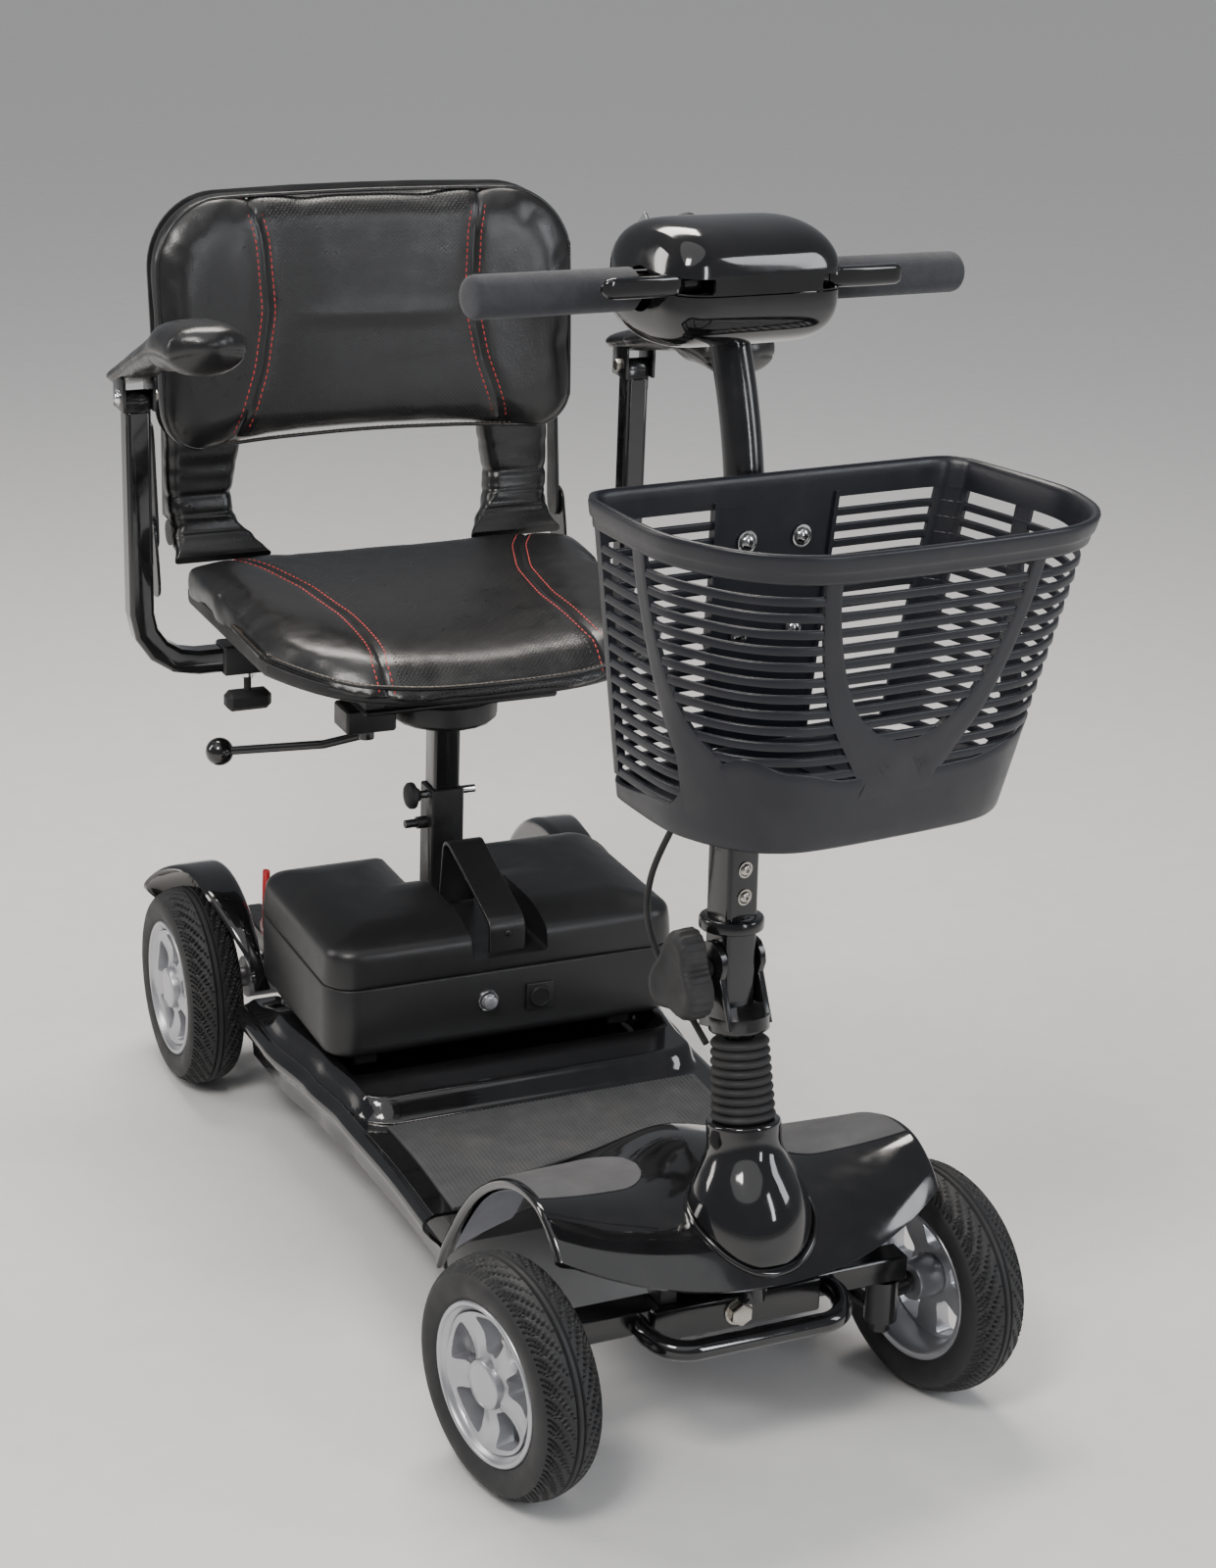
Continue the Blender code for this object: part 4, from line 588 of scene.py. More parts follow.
def cut_with(piece, tools):
    """Cut bmesh solids, made as their piece was, out of a piece with exact Booleans."""
    bpy.context.view_layer.update()
    for bm in tools:
        bmesh.ops.recalc_face_normals(bm, faces=bm.faces)
        if piece.get("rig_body") in REST:
            bm.transform(REST[piece["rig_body"]])
        mesh = as_mesh("tool", bm)
        tool = link("tool", mesh)
        step = piece.modifiers.new("cut", "BOOLEAN")
        step.operation = "DIFFERENCE"
        step.solver = "EXACT"
        step.object = tool
        settle(piece)
        bpy.data.objects.remove(tool)
        bpy.data.meshes.remove(mesh)


def settle(piece):
    """Apply every modifier of a piece to its mesh."""
    bpy.context.view_layer.update()
    graph = bpy.context.evaluated_depsgraph_get()
    mesh = bpy.data.meshes.new_from_object(piece.evaluated_get(graph), depsgraph=graph)
    old = piece.data
    piece.modifiers.clear()
    piece.data = mesh
    mesh.shade_smooth()
    mesh.set_sharp_from_angle(angle=math.radians(SHARP))
    bpy.data.meshes.remove(old)


# ---------------------------------------------------------------- wheels
TYRE_HALF, RIM_R = 0.028, 0.0657
TREADS, TREAD_DEPTH, TREAD_FROM = 36, 0.0026, 0.0905


def tyre_profile():
    """The outer section of a tyre from bead to bead, as (radius, offset) points."""
    crown = [(RIM_R - 0.004, -0.70), (RIM_R + 0.0006, -0.80), (0.0715, -0.93), (0.0790, -1.0),
             (0.0855, -0.985), (0.0900, -0.905), (0.0948, -0.72), (0.0978, -0.46), (0.0993, -0.22),
             (0.1000, 0.0)]
    points = [(r, v * TYRE_HALF) for r, v in crown]
    points += [(r, -v) for r, v in reversed(points[:-1])]
    return pairs_fine(points, 4)


def tread_cut(turn, share):
    """How deep the tread is cut at an angle round the wheel and a share of the half width."""
    side = 1.0 if share > 0 else -1.0
    v = abs(share)
    rib = abs(v - 0.115)
    depth = 1.0 - (rib / 0.035) ** 2 if rib < 0.035 else 0.0
    if 0.16 < v < 0.97:
        for first, last, shift, bend, width in ((0.17, 0.95, 0.0, 0.40, 0.0185),
                                                (0.36, 0.97, 0.50, 0.27, 0.0170),
                                                (0.66, 0.98, 0.20, 0.10, 0.0130)):
            if not first < v < last:
                continue
            swing = (v - first) / (last - first)
            centre = shift * 2 * math.pi / TREADS + side * 0.04 + bend * math.sin(math.pi / 2 * swing) ** 1.2
            gap = (turn - centre) * TREADS / (2 * math.pi)
            gap = abs(gap - round(gap)) * 2 * math.pi / TREADS
            fade = min(1.0, (v - first) / 0.06, (last - v) / 0.05)
            half = width * (0.62 + 0.38 * math.sin(math.pi * swing))
            if gap < half:
                depth = max(depth, fade * (1.0 - (gap / half) ** 4))
    return depth


def make_tyre(label, side, centre, body):
    profile = tyre_profile()
    rows, bead = [], []
    for turn in turns(900):
        across = Vector((0.0, math.cos(turn), math.sin(turn)))
        row = []
        for radius, offset in profile:
            if radius > TREAD_FROM:
                radius -= TREAD_DEPTH * tread_cut(turn * side, offset / TYRE_HALF)
            row.append(centre + across * radius + X_AXIS * offset)
        rows.append(row)
        bead.append(centre + across * (RIM_R - 0.006))
    bm = grid(rows, along=True)
    for sign, column in ((-1, 0), (1, len(profile) - 1)):
        ring = [row[column] for row in rows]
        grid([ring, [p + X_AXIS * (profile[-1][1] - 0.010) * sign for p in bead]], bm, around=True)
    solid("tyre_" + label + "_tread", bm, TYRE, body, ("tyre_" + label,), sharp=50)


def make_rim(label, side, centre, body):
    half = 0.82 * TYRE_HALF
    barrel = [(RIM_R - 0.0035, -half), (RIM_R + 0.0012, -half - 0.0012), (RIM_R + 0.0016, -half + 0.002),
              (RIM_R - 0.0022, -half + 0.005), (RIM_R - 0.0022, half - 0.006),
              (RIM_R + 0.0010, half - 0.0035), (RIM_R + 0.0022, half + 0.0008),
              (RIM_R + 0.0008, half + 0.0030), (RIM_R - 0.0016, half + 0.0030),
              (RIM_R - 0.0034, half + 0.0005), (0.0585, 0.0195), (0.0560, 0.0105), (0.0555, 0.004),
              (0.0570, -0.004), (0.0590, -0.018)]
    barrel = pairs_fine(barrel + barrel[:1], 3)[:-1]

    def part(kind, profile, steps, sharp):
        bm = turned([(r, o * side) for r, o in profile], centre, X_AXIS, steps)
        solid("rim_" + label + kind, bm, SILVER, body, sharp=sharp)

    part("_barrel", barrel, 96, 50)
    rows_out, rows_in = [], []
    radii = [0.0195, 0.0225, 0.028, 0.034, 0.040, 0.046, 0.052, 0.0578]
    for radius in radii:
        out_row, in_row = [], []
        for turn in turns(120):
            place = ((turn - math.radians(126)) * 5 / (2 * math.pi)) % 1.0
            ridge = 1.0 - abs(place if place < 0.5 else place - 1.0) * 2
            reach = (radius - radii[0]) / (radii[-1] - radii[0])
            face = 0.0205 - 0.0050 * math.sin(math.pi * reach) + 0.0010 * reach + 0.0034 * (ridge - 0.5)
            spoke = Vector((0.0, math.cos(turn), math.sin(turn))) * radius
            out_row.append(centre + spoke + X_AXIS * face * side)
            in_row.append(centre + spoke + X_AXIS * 0.003 * side)
        rows_out.append(out_row)
        rows_in.append(in_row)
    bm = grid(rows_out + rows_in[::-1], around=True, along=True)
    spider = solid("rim_" + label + "_spokes", bm, SILVER, body, ("rim_" + label,), sharp=30)
    tools = []
    for k in range(5):
        middle = math.radians(90 + 72 * k)
        corners = [(0.0262, -15), (0.0400, -19.5), (0.0500, -22.5), (0.0535, -19), (0.0548, 0), (0.0535, 19),
                   (0.0500, 22.5), (0.0400, 19.5), (0.0262, 15), (0.0248, 0)]
        outline = fine([Vector((0.0, r * math.cos(middle + math.radians(a)),
                                r * math.sin(middle + math.radians(a))))
                        for r, a in corners], 3, closed=True)
        rings = []
        heart = sum(outline, Vector()) / len(outline)
        for offset, grow in ((-0.004, 0.94), (0.012, 0.97), (0.032, 1.10)):
            rings.append([centre + heart + (p - heart) * grow + X_AXIS * offset * side for p in outline])
        tools.append(loft(rings))
    cut_with(spider, tools)
    soften(spider, 0.0009, 40)
    cap = [(0, 0.004), (0.0195, 0.004), (0.0205, 0.012), (0.0212, 0.0205), (0.0200, 0.0252), (0.0188, 0.0262),
           (0.0170, 0.0266), (0.0165, 0.0262), (0.0158, 0.0262), (0.0, 0.0268)]
    part("_hub_cap", cap, 64, 30)
    boss = [(0.0066, -0.022), (0.0160, -0.022), (0.0170, -0.020), (0.0180, 0.004), (0.0066, 0.004)]
    part("_boss", boss, 40, 30)


def make_wheels():
    for label, side in SIDES:
        kingpin = Vector(JOINTS["knuckle_" + label + "_turn"]["pos_m"])
        reach = (middle_of("tyre_front_" + label).xy - kingpin.xy).length
        front = at(kingpin.x + side * reach, 0.0, AXLE_Z)
        rear = middle_of("tyre_rear_" + label)
        for place, centre in (("front", front), ("rear", Vector((rear.x, rear.y, AXLE_Z)))):
            name = place + "_" + label
            make_tyre(name, side, centre, "wheel_" + name)
            make_rim(name, side, centre, "wheel_" + name)


make_wheels()


# ---------------------------------------------------------------- front cover, cowl and boot
FAIRING_HALF, FAIRING_EDGE = 0.170, 0.0044
FAIRING_SIDE = [(0.214, 0.078), (0.200, 0.108), (0.176, 0.142), (0.140, 0.182), (0.095, 0.216),
                (0.050, 0.236), (0.010, 0.240), (-0.020, 0.228), (-0.037, 0.212)]
FAIRING_MIDDLE = [(0.2135, 0.1265), (0.192, 0.136), (0.168, 0.168), (0.145, 0.198), (0.100, 0.213),
                  (0.055, 0.221), (0.005, 0.223), (-0.050, 0.212), (-0.088, 0.184)]
TUNNEL_RISE = [0.0, 0.0, 0.004, 0.012, 0.014, 0.010, 0.004, 0.0, 0.0]
SIDE_LINE = [Vector((s, z, 0)) for s, z in FAIRING_SIDE]
MIDDLE_LINE = [Vector((s, z, rise)) for (s, z), rise in zip(FAIRING_MIDDLE, TUNNEL_RISE)]


def fairing_point(x, index, drop=0.0):
    """A point of the front cover at side offset x and profile index, lowered square to it by drop."""
    weight = min(abs(x) / FAIRING_HALF, 1.0) ** 2.2
    middle, side = curve_point(MIDDLE_LINE, index), curve_point(SIDE_LINE, index)
    place = middle.lerp(side, weight)
    rise = middle.z * math.exp(-((x / 0.045) ** 2))
    before = curve_point(MIDDLE_LINE, max(index - 0.3, 0))
    after = curve_point(MIDDLE_LINE, min(index + 0.3, 8))
    run = Vector((after.x - before.x, after.y - before.y)).normalized()
    return at(x, place.x - run.y * drop, place.y + rise + run.x * drop)


def make_fairing():
    last = len(FAIRING_SIDE) - 1
    columns = [FAIRING_HALF * math.sin(math.pi / 2 * i / 44) for i in range(-44, 45)]
    indices = [last * i / 88 for i in range(89)]
    rows = []
    for x in columns:
        past = max(0.0, abs(x) - FAIRING_HALF + FAIRING_EDGE) / FAIRING_EDGE
        fall = FAIRING_EDGE * (1 - math.sqrt(max(0.0, 1 - past * past)))
        upper = [fairing_point(x, k, fall) for k in indices]
        edge = max(0.0, min(1.0, (abs(x) - 0.1560) / 0.0100))
        thick = 0.0036 + 0.0054 * edge * edge * (3 - 2 * edge)
        lower = [fairing_point(x, k, thick - fall) for k in reversed(indices)]
        rows.append(upper + lower)
    solid("front_cover_shell", loft(rows), GLOSS, "chassis", ("front_fairing",), bevel=0.0008)
    for label, side in SIDES:
        rows = []
        for i in range(41):
            share = i / 40
            x = 0.0560 + (0.1640 - 0.0560) * share
            nose = math.sqrt(max(0.0, 1 - (1 - min(share / 0.30, 1.0)) ** 2))
            low = 4.75 - 0.95 * nose
            high = 4.75 + 0.80 * nose + 0.35 * share
            upper, lower = ([fairing_point(side * x, low + (high - low) * j / 16, drop) for j in range(17)]
                            for drop in (-0.0009, 0.0004))
            rows.append(upper + lower[::-1])
        solid("cover_insert_" + label, loft(rows), INSERT, "chassis", bevel=0.0004)
        rows = []
        for i in range(33):
            k = 0.75 + 6.1 * i / 32
            row = []
            for j in range(9):
                x = 0.1600 - 0.052 * j / 8
                row.append(fairing_point(side * x, k, 0.0105 - 0.0055 * (j / 8) ** 0.5))
            rows.append(row + [p - Z_AXIS * 0.0008 for p in reversed(row)])
        solid("arch_liner_" + label, loft(rows), LINER, "chassis")


def make_cowl():
    base = steer_point(0.1900)
    outer = [(0.0490, -0.004), (0.0505, 0.004), (0.0512, 0.018), (0.0500, 0.032), (0.0465, 0.046),
             (0.0410, 0.059), (0.0352, 0.070), (0.0312, 0.079), (0.0300, 0.086), (0.0300, 0.0935),
             (0.0300, 0.1000)]
    outer = pairs_fine(outer, 4)
    lip = [(0.0298, 0.1015), (0.0290, 0.1026), (0.0278, 0.1030), (0.0205, 0.1030), (0.0205, 0.0980)]
    inner = [(radius - 0.0030, distance) for radius, distance in reversed(outer[:-3])]
    bm = turned(outer + lip + inner, base, STEER_AXIS, 96)
    solid("column_cowl_bell", bm, GLOSS, "chassis", ("column_cowl",), sharp=50)
    rings = []
    for turn in turns(72):
        hint = base + (X_AXIS * math.cos(turn) + Y_AXIS * math.sin(turn)) * 0.0520
        best = min((fairing_point(max(-0.17, min(0.17, hint.x)), k / 12) for k in range(36, 97)),
                   key=lambda p: (p.xy - hint.xy).length)
        rings.append(best + Z_AXIS * 0.0008)
    path = [sum((rings[(i + j) % 72] for j in (-2, -1, 0, 1, 2)), Vector()) / 5 for i in range(0, 72, 2)]
    path = fine(path, 4, closed=True)
    bm = swept(path, oval(10, 0.0028, 0.0020), Z_AXIS, closed=True)
    solid("column_cowl_flange", bm, GLOSS, "chassis", sharp=60)


def make_boot():
    base = steer_point(STEER_POINT.z)
    ribs, height = 9, 0.066
    profile = []
    for i in range(ribs * 10 + 1):
        share = i / (ribs * 10)
        wide = 0.0262 - 0.0028 * share
        wave = abs(math.sin(math.pi * ribs * share))
        profile.append((wide - 0.0034 * (1 - wave**0.75), height * share))
    profile += [(0.0205, height), (0.0120, height), (0.0120, 0.0)]
    solid("steering_boot_ribs", turned(profile, base, STEER_AXIS, 72), SOFT_BLACK, "chassis",
          ("steering_boot",), sharp=60)


def make_bumper():
    corners = [
        at(-0.086, -0.0128, 0.1240), at(-0.088, -0.0260, 0.1240), at(-0.077, -0.0600, 0.1215),
        at(0.077, -0.0600, 0.1215), at(0.088, -0.0260, 0.1240), at(0.086, -0.0128, 0.1240),
    ]
    path = rounded_path(corners, 0.030, 14)
    solid("front_bumper_tube", swept(path, oval(28, 0.0085), Z_AXIS), GLOSS, "chassis",
          ("front_bumper",), sharp=60)


# ---------------------------------------------------------------- deck
DECK_TOP, DECK_LOW, DECK_FRONT, MAT_THICK, MAT_RIBS = 0.1215, 0.066, 0.2170, 0.0035, 74


def deck_half_width(station):
    return blend_steps([(0.150, 0.190), (0.215, 0.182), (0.300, 0.181), (0.430, 0.185),
                        (0.500, 0.192), (0.590, 0.203), (0.700, 0.205)], station)


def deck_rise(x, station):
    """How far the deck stands up: a sill in front of the battery that runs back along both sides."""
    half = deck_half_width(station)
    edge = max(0.0, (abs(x) - (half - 0.050)) / 0.036)
    start = 0.3830 + 0.030 * (1 - math.sqrt(max(0.0, 1 - min(edge, 1.0) ** 2)))
    sill = ease((station - start) / 0.020) * ease((half - 0.0110 - abs(x)) / 0.012)
    behind = 1 - ease((station - 0.452) / 0.012) * (1 - ease((abs(x) - 0.150) / 0.010))
    return 0.019 * sill * behind * (1 - 0.75 * ease((station - 0.600) / 0.070))


def make_deck():
    top = DECK_TOP
    rows = []
    for i in range(131):
        s = DECK_FRONT + (0.674 - DECK_FRONT) * i / 130
        half = deck_half_width(s)
        lower = half - 0.018
        right = [Vector((half - 0.0100, top - 0.0004, 0)),
                 Vector((half - 0.0030, top - 0.0038, 0)), Vector((half - 0.0002, top - 0.012, 0)),
                 Vector((half - 0.008, (top * 0.58 + DECK_LOW * 0.42), 0)),
                 Vector((lower, DECK_LOW + 0.020, 0)), Vector((lower - 0.003, DECK_LOW, 0))]
        right = fine(right, 6)
        inner_half = half - 0.0100
        flat = []
        for j in range(1, 90):
            x = inner_half * math.sin(math.pi / 2 * (j / 45 - 1)) if j != 45 else 0.0
            flat.append(Vector((x, top + deck_rise(x, s), 0)))
        outer = [Vector((-p.x, p.y, 0)) for p in reversed(right)] + flat + right
        rows.append([at(p.x, s, p.y) for p in outer + shifted_inwards(outer, 0.0034)[::-1]])
    solid("deck_shell_moulding", loft(rows), GLOSS, "chassis", ("deck_shell",), bevel=0.0009,
          sharp=45)
    low, high = DECK_TOP + 0.0002, DECK_TOP + MAT_THICK
    rows = []
    for i in range(25):
        s = DECK_FRONT + (0.378 - DECK_FRONT) * i / 24
        half = deck_half_width(s) - blend_steps([(0.192, 0.028), (0.378, 0.030)], s)
        pitch = (2 * half - 0.008) / MAT_RIBS
        row = [at(-half, s, low), at(-half, s, high - 0.0016), at(-half + 0.0008, s, high - 0.0006),
               at(-half + 0.002, s, high - 0.0002)]
        for j in range(MAT_RIBS):
            left = -half + 0.004 + (2 * half - 0.008) * j / MAT_RIBS
            row += [at(left, s, high - 0.0008), at(left + pitch * 0.22, s, high - 0.0008),
                    at(left + pitch * 0.38, s, high), at(left + pitch * 0.84, s, high)]
        row += [at(half - 0.004, s, high - 0.0008), at(half - 0.002, s, high - 0.0002),
                at(half - 0.0008, s, high - 0.0006), at(half, s, high - 0.0016), at(half, s, low)]
        rows.append(row)
    solid("deck_mat_ribbed", loft(rows), MAT, "chassis", ("deck_mat",), sharp=30)


def guard_reach(turn):
    return blend_steps([(math.radians(25), 0.190), (math.radians(80), 0.212), (math.radians(150), 0.238)],
                       turn)


def make_mudguard(label, side):
    """A quarter shell over the tyre's inner half, with an inner wall."""
    rows = []
    inner_x, wall, steps = 0.1710, 0.0030, 84
    for i in range(steps + 1):
        turn = math.radians(18 + 147 * i / steps)
        taper = min(1.0, 4 * i / steps + 0.25, 4 * (steps - i) / steps + 0.25)
        taper = ease(taper)
        out = inner_x + (guard_reach(turn) - inner_x) * (0.35 + 0.65 * taper)
        high, low = 0.1230, 0.1230 - 0.045 * taper
        outer = [(inner_x, low), (inner_x, high - 0.016), (inner_x + 0.0006, high - 0.0055),
                 (inner_x + 0.0055, high - 0.0006), (inner_x + 0.014, high), ((inner_x + out) / 2, high),
                 (out - 0.010, high - 0.0006), (out - 0.0035, high - 0.0018), (out - 0.0004, high - 0.0042)]
        section = [Vector((x, r, 0)) for x, r in pairs_fine(outer, 3)]
        ring = section + shifted_inwards(section, wall)[::-1]
        rows.append([at(side * p.x, WHEELBASE - p.y * math.cos(turn), AXLE_Z + p.y * math.sin(turn))
                     for p in ring])
    solid("mudguard_" + label + "_shell", loft(rows), GLOSS, "chassis", ("mudguard_" + label,),
          bevel=0.0007, sharp=45)


make_fairing()
make_cowl()
make_boot()
make_bumper()
make_deck()
for label, side in SIDES:
    make_mudguard(label, side)


# ---------------------------------------------------------------- battery
BATTERY_HALF, BATTERY_FRONT, BATTERY_REAR = 0.176, 0.466, 0.690
BATTERY_LOW, BATTERY_SEAM, BATTERY_TOP = 0.1503, 0.219, 0.266


def battery_outline(inset, steps=10):
    """The battery case seen from above, with the channel for the seat post at its rear."""
    half, front, rear = BATTERY_HALF - inset, BATTERY_FRONT + inset, BATTERY_REAR - inset
    channel, depth, corner = 0.0420 + inset, 0.622 - inset, max(0.008, 0.030 - inset)
    outline = [(-channel - 0.004, rear), (-half + corner, rear)]
    for first, start, heart in ((1, 90, rear - corner), (0, 180, front + corner)):
        for i in range(first, steps + 1):
            turn = math.radians(start + 90 * i / steps)
            outline.append((-half + corner + corner * math.cos(turn), heart + corner * math.sin(turn)))
    mirrored = [(-x, s) for x, s in reversed(outline)]
    return outline + mirrored + [(channel, rear - 0.004), (channel, depth), (-channel, depth),
                                 (-channel, rear - 0.004)]


def battery_loft(line):
    """A solid between outlines of the case, from (inset, height) pairs."""
    return loft([[at(x, s, z) for x, s in battery_outline(inset)] for inset, z in line])


def make_battery():
    front, rear, low, seam = BATTERY_FRONT, BATTERY_REAR, BATTERY_LOW, BATTERY_SEAM
    bm = battery_loft([(0.0045, low), (0.0020, low + 0.0015), (0.0004, low + 0.005), (0.0, low + 0.010),
                       (0.0, seam - 0.0022), (0.0008, seam - 0.0004)])
    tray = solid("battery_tray_moulding", bm, CASE, "battery", ("battery_tray",), sharp=35)
    cut_with(tray, [battery_loft([(0.0040, low + 0.004), (0.0032, seam + 0.01)])])
    line = [(0.0012, seam + 0.0002), (0.0002, seam + 0.0018), (0.0, 0.224), (0.0008, 0.234),
            (0.0020, 0.2440), (0.0036, 0.2500), (0.0068, 0.2540), (0.0120, 0.2567), (0.0210, 0.2600),
            (0.0330, 0.2635), (0.0460, 0.2655), (0.0560, BATTERY_TOP)]
    cover = solid("battery_cover_moulding", battery_loft(pairs_fine(line, 3)), CASE, "battery",
                  ("battery_cover",), sharp=35)
    tools = [block(side * 0.0465, side * (BATTERY_HALF - 0.0035), front + 0.0035, rear - 0.0035, 0.1900,
                   0.2560, 0.020) for side in (-1, 1)]
    tools.append(block(-0.070, 0.070, front + 0.0050, 0.6165, 0.2000, 0.2290))
    tools.append(block(-0.038, 0.038, 0.440, 0.640, 0.2320, 0.300, 0.004))
    cut_with(cover, tools)
    for piece in (tray, cover):
        soften(piece, 0.0012, 50)
    cad_copy("battery_cells", CASE, "battery", 0.0015)
    path = rounded_path([at(0, 0.476, 0.2338), at(0, 0.476, 0.2620), at(0, 0.594, 0.3060),
                         at(0, 0.6035, 0.2338)],
                        0.012, 10)
    section = rounded_box(0.018, 0.0024, 0.0016)
    dish = [(a, b + 0.0008 * (1 - (a / 0.018) ** 2)) for a, b in section]
    solid("battery_handle_strap", swept(path, dish, X_AXIS), CASE, "battery",
          ("battery_handle",))
    dome_screw(at(0.0, 0.4735, 0.2520), -Y_AXIS, 0.0030, 0.0016, "battery_handle_screw", "battery", CASE)
    button = at(-0.022, front, 0.190)
    ring = [(0.0105, 0.0), (0.0105, 0.0018), (0.0098, 0.0030), (0.0088, 0.0031), (0.0079, 0.0022),
            (0.0077, 0.0)]
    solid("breaker_bezel", turned(ring, button, -Y_AXIS, 48), CHROME, "battery")
    cap = [(0, 0), (0.0071, 0), (0.0071, 0.0066), (0.0065, 0.0078), (0.0050, 0.0084), (0.0, 0.0086)]
    solid("breaker_button_cap", turned(cap, button - Y_AXIS * 0.0003, -Y_AXIS, 40), SILVER, "breaker",
          ("breaker_button",))
    bm = block(0.0165, 0.0435, front - 0.0030, front - 0.0003, 0.1740, 0.2010, 0.0008)
    disc = [(0, 0), (0.0106, 0), (0.0106, 0.0026), (0.0100, 0.0034), (0.0088, 0.0036), (0.0084, 0.0028),
            (0, 0.0028)]
    turned(disc, at(0.030, front - 0.0020, 0.1875), -Y_AXIS, 40, bm)
    solid("charge_port_cover", bm, CASE, "port_cap", ("charge_port_cap",))


make_battery()


# ---------------------------------------------------------------- tiller
PIVOT_STATION, PIVOT_Z = 0.024, 0.405


def tiller_point(z):
    """The middle of the tiller tube at height z: nearly upright, then bent back to the bar."""
    straight = PIVOT_STATION + (z - PIVOT_Z) * 0.086
    bend = max(0.0, z - 0.745)
    return at(0, straight + bend * bend * 1.22, z)


def make_tiller():
    lower = [at(0, PIVOT_STATION - 0.002, 0.3790), tiller_point(0.430), tiller_point(0.520)]
    bm = swept(lower, rounded_box(0.0150, 0.0150, 0.0040), X_AXIS)
    upper = [tiller_point(z) for z in (0.505, 0.600, 0.700, 0.740)]
    upper += [tiller_point(0.7475 + 0.0064 * i) for i in range(26)]
    swept(upper, oval(40, 0.0155), X_AXIS, bm)
    along = (tiller_point(0.5) - tiller_point(0.45)).normalized()
    flange = [(0, 0), (0.0240, 0), (0.0256, 0.0012), (0.0258, 0.0030), (0.0258, 0.0085), (0.0250, 0.0103),
              (0.0235, 0.0110), (0.0165, 0.0110), (0.0160, 0.0120), (0, 0.0120)]
    turned(flange, tiller_point(0.4400), along, 56, bm)
    solid("tiller_column", bm, TILLER, "tiller", ("tiller_tube",), bevel=0.0005)
    for i, z in enumerate((0.470, 0.492)):
        dome_screw(tiller_point(z) - Y_AXIS * 0.0150, -Y_AXIS, 0.0052, 0.0026, "tiller_screw_%d" % (i + 1),
                   "tiller", ZINC, 0.0066)


def make_tiller_knob():
    hinge = at(-0.0220, PIVOT_STATION, PIVOT_Z + 0.006)
    bm = turned([(0, 0), (0.0075, 0), (0.0080, 0.004), (0.0110, 0.0125), (0.0, 0.0125)], hinge, -X_AXIS, 36)
    rings = []
    levels = [(0.0120, 0.74, 0.0), (0.0128, 0.86, 0.3), (0.0145, 0.95, 0.8), (0.0170, 0.995, 1.0),
              (0.0250, 1.0, 1.0), (0.0320, 0.995, 1.0), (0.0350, 0.955, 0.8), (0.0368, 0.90, 0.35),
              (0.0380, 0.82, 0.0), (0.0380, 0.70, 0.0), (0.0366, 0.64, 0.0), (0.0364, 0.30, 0.0)]
    for depth, size, ribbed in levels:
        ring = []
        for turn in turns(144):
            reach = 0.0300 + 0.0062 * math.cos(3 * (turn - math.pi / 2))
            grip = ribbed * 0.0013 * (0.5 + 0.5 * math.cos(36 * turn))
            reach = reach * size - grip
            ring.append(hinge + Vector((-depth, reach * 0.92 * math.cos(turn),
                                        reach * 1.12 * math.sin(turn) - 0.003)))
        rings.append(ring)
    loft(rings, bm)
    solid("tiller_knob_grip", bm, SOFT_BLACK, "clamp_knob", ("tiller_knob",), sharp=50)


# ---------------------------------------------------------------- basket
BASKET_TOP, BASKET_LOW, BASKET_REAR, PLATE_STATION = 0.806, 0.575, 0.0225, 0.0270
FRONT_MIDDLE = 11  # the outline's point in the middle of the front
INSIDE, COLUMNS, SLATS, SLAT_LOW, SLAT_PITCH = -0.0038, 220, 15, 0.5990, 0.01225
PANEL_LOW, PANEL_TALL, U_SHIFT = 0.596, 0.192, 0.010
SCREWS = [(x, z) for x in (-0.026, 0.026) for z in (0.684, 0.756)]


def basket_outline(half, front, rear):
    """The D-shaped plan of the basket: a straight rear, full sides and a bowed front."""
    corner = 0.030
    outline = [(-half * 0.60, rear), (0.0, rear), (half * 0.60, rear)]
    outline += [(half * 0.955 - corner + corner * math.sin(t), rear - corner + corner * math.cos(t))
                for t in (math.radians(20), math.radians(55), math.radians(85))]
    depth = rear - front
    for degrees in (8, 28, 46, 62, 78):
        turn = math.radians(degrees)
        outline.append((half * math.cos(turn) ** 0.44, rear - depth * (0.42 + 0.58 * math.sin(turn))))
    outline.append((0.0, front))
    mirrored = [(-x, s) for x, s in reversed(outline[3:-1])]
    return outline + mirrored


RINGS = {}


def basket_ring(z):
    key = round(z, 6)
    if key not in RINGS:
        share = (z - BASKET_LOW) / (BASKET_TOP - BASKET_LOW)
        half, front = 0.146 + 0.042 * share, -0.148 - 0.036 * share
        RINGS[key] = [at(x, s, z) for x, s in basket_outline(half, front, BASKET_REAR)]
    return RINGS[key]


def wall_spacing():
    """The curve index at each distance round the wall from the middle of its front, at mid height."""
    ring = basket_ring(0.690)
    indices = [FRONT_MIDDLE + 10 * i / 500 for i in range(501)]
    points = [curve_point(ring, k, True) for k in indices]
    reach = [0.0]
    for a, b in zip(points, points[1:]):
        reach.append(reach[-1] + (b - a).length)
    return indices, reach


WALL_INDEX, WALL_REACH = wall_spacing()
WALL_END = WALL_REACH[-1]


